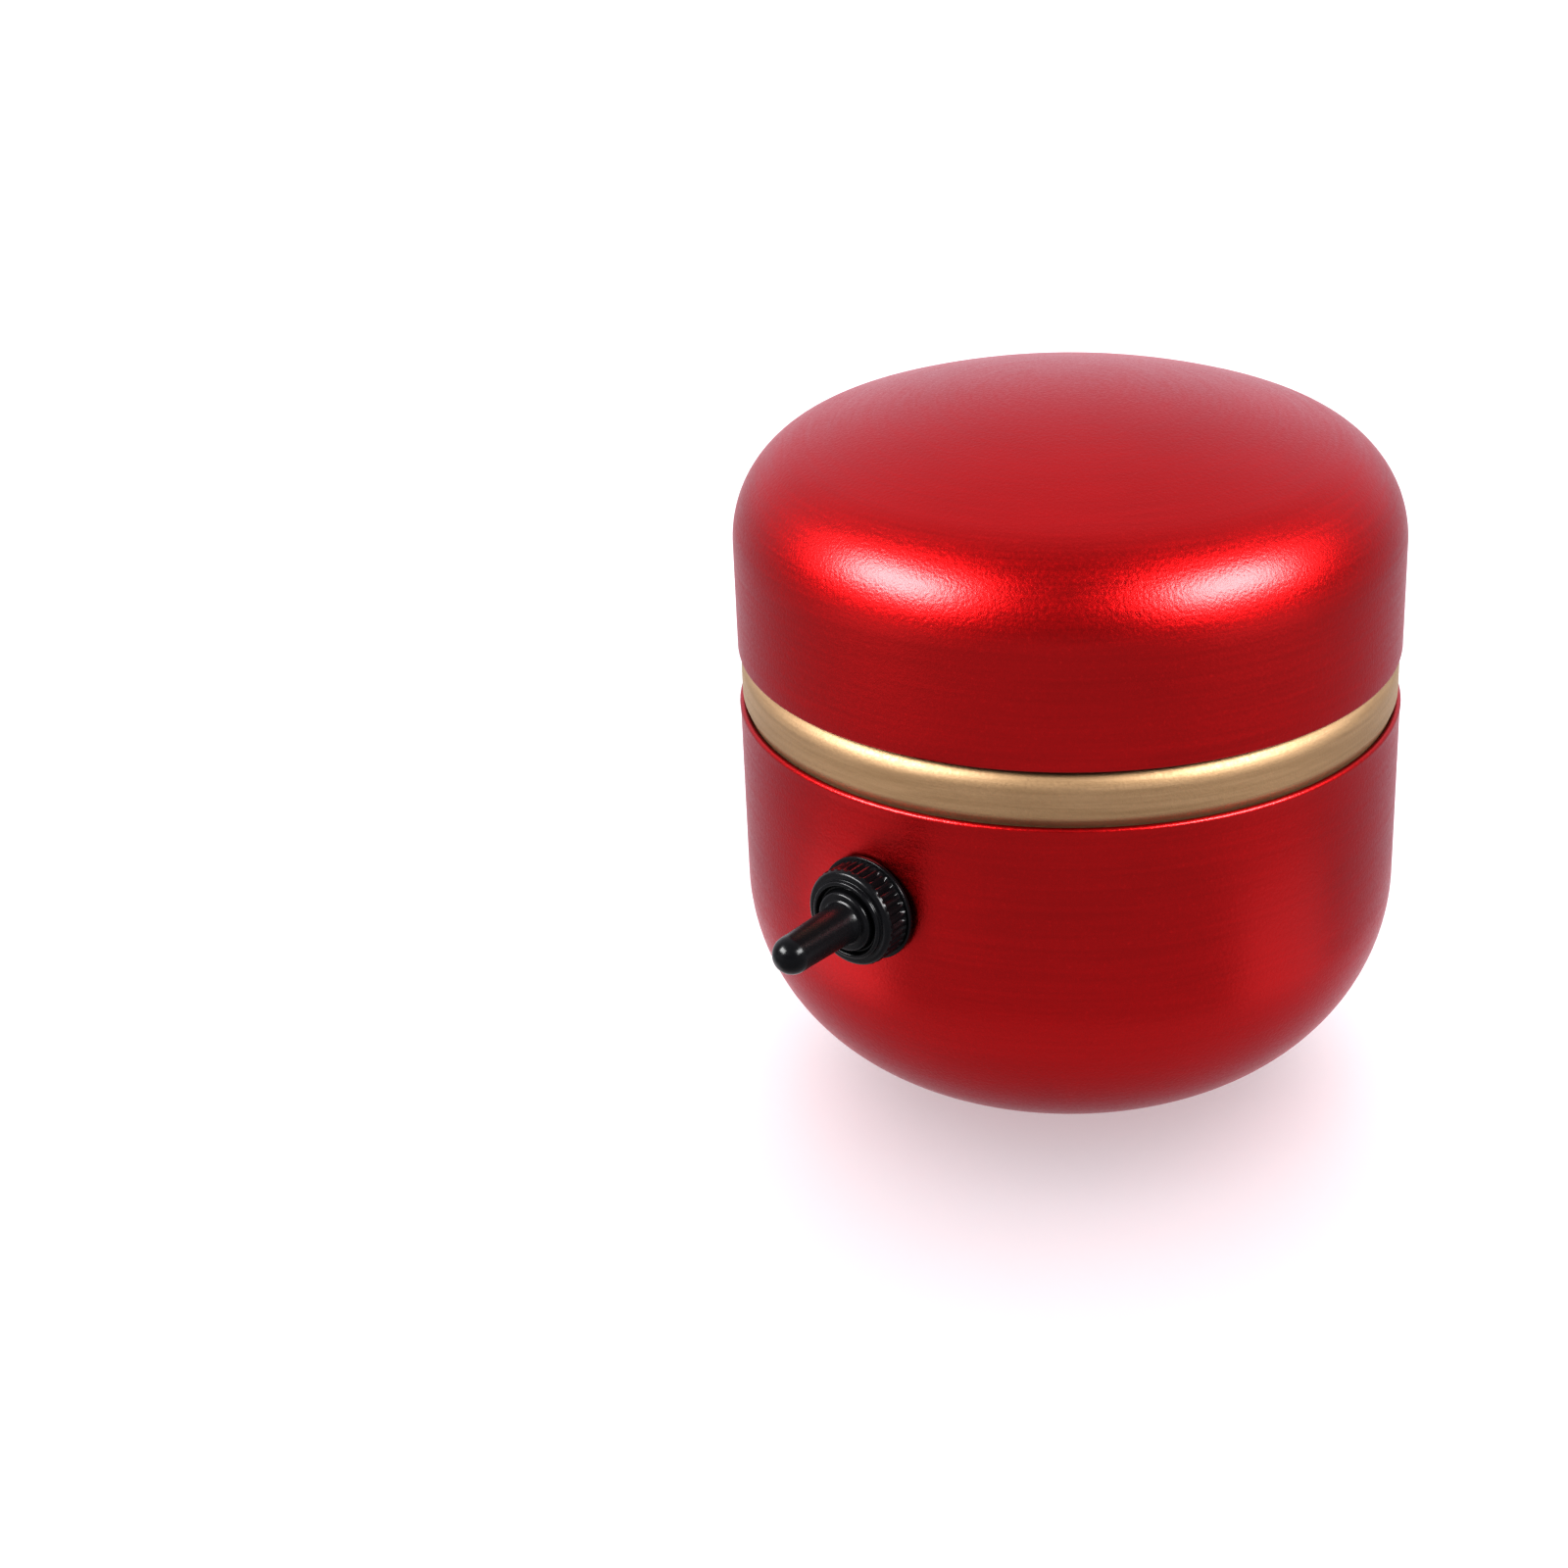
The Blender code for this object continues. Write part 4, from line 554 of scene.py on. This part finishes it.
# ---- pan and wheel --------------------------------------------------------------------
def make_pan():
    """Splash pan with a coved floor, a tower round the spindle and rounded lips."""
    outer = pan_high.x
    inner = outer - PAN_WALL
    floor = pan_low.z + PAN_SHEET
    tower_top = floor + TOWER_HEIGHT
    tower_inner = TOWER_RADIUS - PAN_SHEET
    lip = PAN_WALL / 2
    cove = PAN_COVE
    profile = rounded([(MOTOR_BOSS, pan_low.z), (outer - 1.0 * MM, pan_low.z),
                       (outer, pan_low.z + 1.0 * MM)], 0.3 * MM, closed=False)
    profile += arc((outer - lip, pan_high.z - lip), lip, 0, 180, 10)
    profile += arc((inner - cove, floor + cove), cove, 0, -90, 8)
    profile += arc((TOWER_RADIUS + cove, floor + cove), cove, -90, -180, 8)
    profile += arc((TOWER_RADIUS - lip, tower_top - lip), lip, 0, 90, 6)
    profile += arc((tower_inner + lip, tower_top - lip), lip, 90, 180, 6)[1:]
    profile += [(tower_inner, floor), (MOTOR_BOSS, floor)]
    pan = add_piece("pan", spun(profile))
    holes = bmesh.new()
    cut_low = pan_low.z - CUT_OVER
    cut_high = floor + CUT_OVER
    add_screw_holes(holes, "pan_screw", 3, SCREW_HOLE, cut_low, cut_high)
    add_screw_holes(holes, "motor_screw", 2, MOTOR_SCREW_HOLE, cut_low, cut_high)
    cut(pan, holes)
    stand_for(pan, FINISHES["pan_plastic"], "pan_plastic", "root", "splash_pan")


def make_wheel_head():
    """Wheel head: centring grooves, broken edges and counterbored screw holes."""
    top = head_high.z
    radius = head_high.x
    points = [(0.0, top)]
    for groove in GROOVES:
        points += [(groove - GROOVE_BREAK, top), (groove - GROOVE_DEPTH, top)]
        points += arc((groove, top), GROOVE_DEPTH, 200, 340, 6)
        points += [(groove + GROOVE_DEPTH, top), (groove + GROOVE_BREAK, top)]
    points += arc((radius - HEAD_TOP_ROUND, top - HEAD_TOP_ROUND), HEAD_TOP_ROUND, 90, 0, 8)
    points += arc((radius - HEAD_LOW_ROUND, head_low.z + HEAD_LOW_ROUND), HEAD_LOW_ROUND,
                  0, -90, 6)
    points.append((0.0, head_low.z))
    head = add_piece("wheel_disc", spun(points))
    holes = bmesh.new()
    sinks = bmesh.new()
    add_screw_holes(holes, "wheel_screw", 3, SCREW_HOLE, head_low.z - CUT_OVER,
                    top + CUT_OVER)
    add_screw_holes(sinks, "wheel_screw", 3, SINK_RADIUS, top - SINK_DEPTH, top + CUT_OVER,
                    48)
    cut(head, holes)
    cut(head, sinks)
    stand_for(head, FINISHES["aluminium"], "aluminium", "wheel", "wheel_head")


def make_hub():
    """Hub with the skirt that keeps water off the tower."""
    skirt_outer = hub_high.x
    skirt_inner = skirt_outer - SKIRT_WALL
    flange_low = hub_high.z - HUB_FLANGE
    skirt_low = hub_skirt_bottom()
    bore_top = shaft_high.z + HUB_BORE_ROOM
    profile = rounded([(0.0, bore_top), (SHAFT_BORE, bore_top), (SHAFT_BORE, hub_low.z),
                       (HUB_RADIUS, hub_low.z), (HUB_RADIUS, flange_low),
                       (skirt_inner, flange_low), (skirt_inner, skirt_low),
                       (skirt_outer, skirt_low), (skirt_outer, hub_high.z),
                       (0.0, hub_high.z)], HUB_ROUND, closed=False)
    hub = add_piece("hub", spun(profile, MIDDLE_STEPS))
    holes = bmesh.new()
    add_screw_holes(holes, "wheel_screw", 3, SCREW_HOLE, flange_low - CUT_OVER,
                    hub_high.z + CUT_OVER)
    cut(hub, holes)
    grub = bmesh.new()
    cylinder(grub, GRUB_HOLE, CUT_OVER / 2, skirt_outer + 2 * CUT_OVER, HOLE_STEPS)
    cut(hub, grub, Matrix.Translation((0, 0, node_axis("hub_set_screw").z))
        @ Matrix.Rotation(math.pi / 2, 4, "Y"))
    stand_for(hub, FINISHES["hub_aluminium"], "hub_aluminium", "wheel", "wheel_hub")


def hub_skirt_bottom():
    """Lowest point of the skirt, the hub's outermost vertices."""
    mesh = frame["nodes"]["wheel_hub"].data
    return min(v.co.z for v in mesh.vertices if v.co.xy.length > hub_high.x * 0.97)


def make_screw(node, size, body):
    """Pan-head screw with a cross recess and a turned thread, head up."""
    shank, head, head_height = size
    low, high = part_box(node)
    rest = high.z - head_height
    profile = [(0.0, low.z), (shank * 0.6, low.z)]
    for turn in range(int((rest - low.z) / THREAD_PITCH)):
        base = low.z + 0.15 * MM + turn * THREAD_PITCH
        profile += [(shank * THREAD_ROOT, base), (shank, base + THREAD_PITCH / 2)]
    profile += [(shank * THREAD_ROOT, rest), (head * 0.96, rest)]
    profile += [(head * math.cos(t), rest + head_height * (0.25 + 0.75 * math.sin(t)))
                for t in [math.pi / 2 * step / 10 for step in range(10)]]
    profile.append((0.0, high.z))
    middle = (low + high) / 2
    screw = add_piece(node + "_fine", spun(profile, SCREW_STEPS),
                      Matrix.Translation((middle.x, middle.y, 0)))
    for turn in (RECESS_TURN, RECESS_TURN + math.pi / 2):
        recess = bmesh.new()
        bmesh.ops.create_cube(recess, size=1.0)
        bmesh.ops.scale(recess, vec=(head * 1.15, head * 0.24, head_height),
                        verts=recess.verts)
        place = (Matrix.Translation((middle.x, middle.y, high.z))
                 @ Matrix.Rotation(turn, 4, "Z"))
        cut(screw, recess, place)
    stand_for(screw, FINISHES["screw_steel"], "screw_steel", body, node)


# ---- switch boot ----------------------------------------------------------------------
def make_boot():
    """One moulded rubber boot: ribbed base, shoulder, bellows ring and lever sleeve.

    Heights run outwards from the can's side along the switch's axis.
    """
    flange_r = boot_high.x
    band_r = flange_r - 0.45 * MM
    rib_depth = 0.36 * MM
    low = 0.3 * MM
    flange_top = 0.95 * MM
    band_top = 3.85 * MM
    tip = -TIN_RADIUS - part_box("boot_sleeve")[0].y
    sleeve_r = 2.5 * MM
    bore_r = 4.9 * MM
    back = [(bore_r, 3.0 * MM), (bore_r, low)]
    flange = rounded([(bore_r, low), (flange_r, low), (flange_r, flange_top),
                      (band_r, flange_top)], 0.2 * MM, 4, False)[1:-1]
    band = [(band_r, flange_top + (band_top - flange_top) * step / 8) for step in range(9)]
    shoulder = arc((band_r - 0.72 * MM, band_top + 0.1 * MM), 0.62 * MM, 8, 90, 10)
    face = rounded([shoulder[-1], (5.32 * MM, 4.50 * MM), (5.26 * MM, 5.05 * MM),
                    (4.70 * MM, 5.12 * MM), (4.55 * MM, 4.35 * MM), (4.15 * MM, 4.35 * MM),
                    (4.05 * MM, 5.0 * MM)], 0.24 * MM, 5, False)[1:-1]
    ring = arc((3.50 * MM, 5.10 * MM), 0.55 * MM, -5, 85, 8)
    neck = [(3.05 * MM, 5.66 * MM), (2.86 * MM, 5.80 * MM), (2.76 * MM, 6.15 * MM),
            (2.70 * MM, 7.0 * MM), (2.66 * MM, 8.4 * MM), (2.60 * MM, 10.2 * MM),
            (2.55 * MM, 12.2 * MM), (2.51 * MM, 14.0 * MM)]
    end = arc((0.0, tip - sleeve_r), sleeve_r, 0, 90, 16)
    inside = [(0.0, tip - 1.2 * MM), (1.1 * MM, tip - 1.6 * MM), (1.65 * MM, tip - 2.6 * MM),
              (1.65 * MM, 5.2 * MM), (3.2 * MM, 4.6 * MM), (3.6 * MM, 4.0 * MM),
              (4.2 * MM, 3.4 * MM)]
    outline = flange + band + shoulder + face + ring + neck + end[:-1]
    profile = [(0.0, tip)] + outline[::-1] + back[::-1] + inside[::-1]
    steps = BOOT_RIBS * 8
    bm = spun(profile, steps)
    for vert in bm.verts:
        radius = vert.co.xy.length
        if radius < band_r - 0.02 * MM or radius > band_r + 0.02 * MM:
            continue
        share = (vert.co.z - flange_top) / (band_top - flange_top)
        if not -0.01 < share < 1.01:
            continue
        wave = 0.5 - 0.5 * math.cos(math.atan2(vert.co.y, vert.co.x) * BOOT_RIBS)
        fade = min(1.0, 6.0 * share, 6.0 * (1.0 - share) + 0.35)
        vert.co.xy *= (radius - rib_depth * wave ** 1.5 * fade) / radius
    boot = add_piece("boot", bm, SWITCH_PLACE)
    stand_for(boot, FINISHES["black_rubber"], "black_rubber", None, "boot_base",
              "boot_sleeve")
    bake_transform(boot)


# ---- DC socket ------------------------------------------------------------------------
def make_jack():
    """Socket with a stepped, rounded flange and a threaded barrel."""
    flange_r = jack_high.x
    face = jack_high.y - TIN_RADIUS
    back = jack_low.y - TIN_RADIUS
    barrel = 3.9 * MM
    bore = 2.85 * MM
    bottom = face - 9.5 * MM
    pin = 1.15 * MM
    profile = [(pin, bottom), (bore, bottom), (bore, face - 0.4 * MM),
               (bore + 0.4 * MM, face)]
    profile += arc((flange_r - 0.5 * MM, face - 0.5 * MM), 0.5 * MM, 90, 0, 6)
    profile += [(flange_r, 0.4 * MM), (flange_r - 0.1 * MM, 0.3 * MM), (barrel, 0.3 * MM)]
    pitch = 0.6 * MM
    for turn in range(int((0.3 * MM - back) / pitch) - 1):
        crest = -turn * pitch
        profile += [(barrel, crest), (barrel - 0.25 * MM, crest - pitch / 2)]
    profile += [(barrel - 0.25 * MM, back), (pin, back)]
    jack = add_piece("socket", spun(profile, SMALL_STEPS), JACK_PLACE)
    stand_for(jack, FINISHES["dark_plastic"], "dark_plastic", "root", "jack_housing")


# ---- stage ----------------------------------------------------------------------------
def aim(thing, place, target):
    thing.location = place
    thing.rotation_mode = "QUATERNION"
    thing.rotation_quaternion = (Vector(target) - Vector(place)).to_track_quat("-Z", "Y")


def around(azimuth, elevation, distance):
    """A point seen from the tin's middle; azimuth in degrees from the camera's side."""
    a = CAMERA_AZIMUTH + math.radians(azimuth)
    e = math.radians(elevation)
    return Vector((math.sin(a) * math.cos(e), -math.cos(a) * math.cos(e),
                   math.sin(e))) * distance + Vector((0, 0, RIM_Z))


def make_camera():
    data = bpy.data.cameras.new("camera")
    data.lens = CAMERA_LENS
    data.sensor_width = 36.0
    data.shift_x, data.shift_y = CAMERA_SHIFT
    data.clip_start = 0.01
    data.clip_end = 50.0
    camera = bpy.data.objects.new("camera", data)
    bpy.context.scene.collection.objects.link(camera)
    aim(camera, around(0, math.degrees(CAMERA_ELEVATION), CAMERA_DISTANCE), (0, 0, RIM_Z))
    bpy.context.scene.camera = camera


def softbox(name, azimuth, elevation, distance, size, power, spared):
    """Soft light that doesn't fall on what the spared collection excludes."""
    data = bpy.data.lights.new(name, "AREA")
    data.shape = "RECTANGLE"
    data.size, data.size_y = size
    data.energy = power
    light = bpy.data.objects.new(name, data)
    bpy.context.scene.collection.objects.link(light)
    light.visible_camera = False
    light.light_linking.receiver_collection = spared
    aim(light, around(azimuth, elevation, distance), (0, 0, RIM_Z))
    return light


def bounce(name, azimuth, distance, size, power, spared):
    """Reflector card lying beside the tin, lighting its underside softly."""
    card = softbox(name, azimuth, 0, distance, size, power, spared)
    card.location.z = CARD_HEIGHT
    aim(card, card.location, (0, 0, RIM_Z / 2))


def table_glow(size, power, spared):
    """Lit table top under the tin, for its rounded underside."""
    glow = softbox("table_glow", 0, 0, 0, (size, size), power, spared)
    glow.data.shape = "DISK"
    aim(glow, (0, 0, GLOW_HEIGHT), (0, 0, 1))


def make_floor():
    bm = bmesh.new()
    bmesh.ops.create_circle(bm, cap_ends=True, segments=96, radius=6.0)
    floor = add_piece("floor", bm)
    f = Finish("floor_white", Emission_Color=(0.97, 0.96, 1.0, 1.0), Emission_Strength=0.34)
    cloud = f.noise(3.0, 2.0)
    f.feed("Base Color", f.mix(cloud, (0.63, 0.65, 0.64), (0.64, 0.66, 0.65)))
    f.feed("Roughness", f.remap(cloud, 0.3, 0.7, 0.45, 0.55))
    floor.data.materials.append(f.material)
    return floor


def make_studio():
    """Pale floor, bright surroundings above and behind, a softbox on either side."""
    floor = make_floor()
    spared = bpy.data.collections.new("spared_by_softboxes")
    spared.objects.link(floor)
    spared.collection_objects[0].light_linking.link_state = "EXCLUDE"
    softbox("softbox_left", -63.5, 32, *SOFTBOX, spared)
    softbox("softbox_right", 58, 33, *SOFTBOX, spared)
    bounce("bounce_left", -60, *BOUNCE, spared)
    bounce("bounce_right", 60, *BOUNCE, spared)
    bounce("patch_left", -62, PATCH_DISTANCE, PATCH_SIZE, 0.005, spared)
    bounce("patch_right", 58, PATCH_DISTANCE, PATCH_SIZE, 0.003, spared)
    table_glow(GLOW_SIZE, GLOW_POWER, spared)
    world = bpy.data.worlds.new("studio")
    world.use_nodes = True
    nodes, links = world.node_tree.nodes, world.node_tree.links
    bright = -around(0, 0, 1.0)
    bright = Vector((bright.x, bright.y, 0.0)).normalized() * 0.9 + Vector((0, 0, 0.44))
    facing = nodes.new("ShaderNodeVectorMath")
    facing.operation = "DOT_PRODUCT"
    links.new(nodes.new("ShaderNodeTexCoord").outputs["Generated"], facing.inputs[0])
    facing.inputs[1].default_value = bright
    ramp = nodes.new("ShaderNodeMapRange")
    ramp.interpolation_type = "SMOOTHSTEP"
    links.new(facing.outputs["Value"], ramp.inputs["Value"])
    ramp.inputs["From Min"].default_value = 0.05
    ramp.inputs["From Max"].default_value = 0.9
    ramp.inputs["To Min"].default_value = 0.48
    ramp.inputs["To Max"].default_value = 1.5
    links.new(ramp.outputs["Result"], nodes["Background"].inputs["Strength"])
    nodes["Background"].inputs["Color"].default_value = (0.97, 0.94, 1.0, 1.0)
    bpy.context.scene.world = world
    bpy.context.scene.view_settings.view_transform = "Standard"
    bpy.context.scene.view_settings.look = "High Contrast"


# ---- the whole object -----------------------------------------------------------------
make_camera()
for row in frame["record"]["subparts"]:
    for holder in frame["nodes"][row["node"]].material_slots:
        holder.material = FINISHES[row["material_slot"]]
make_lid()
make_can()
make_collar()
make_foot()
make_gasket()
make_pan()
make_wheel_head()
make_hub()
for screw_number in (1, 2, 3):
    make_screw("pan_screw_%d" % screw_number, PAN_SCREW, "root")
    make_screw("wheel_screw_%d" % screw_number, WHEEL_SCREW, "wheel")
for screw_number in (1, 2):
    make_screw("motor_screw_%d" % screw_number, MOTOR_SCREW, "root")
make_boot()
make_jack()
make_studio()
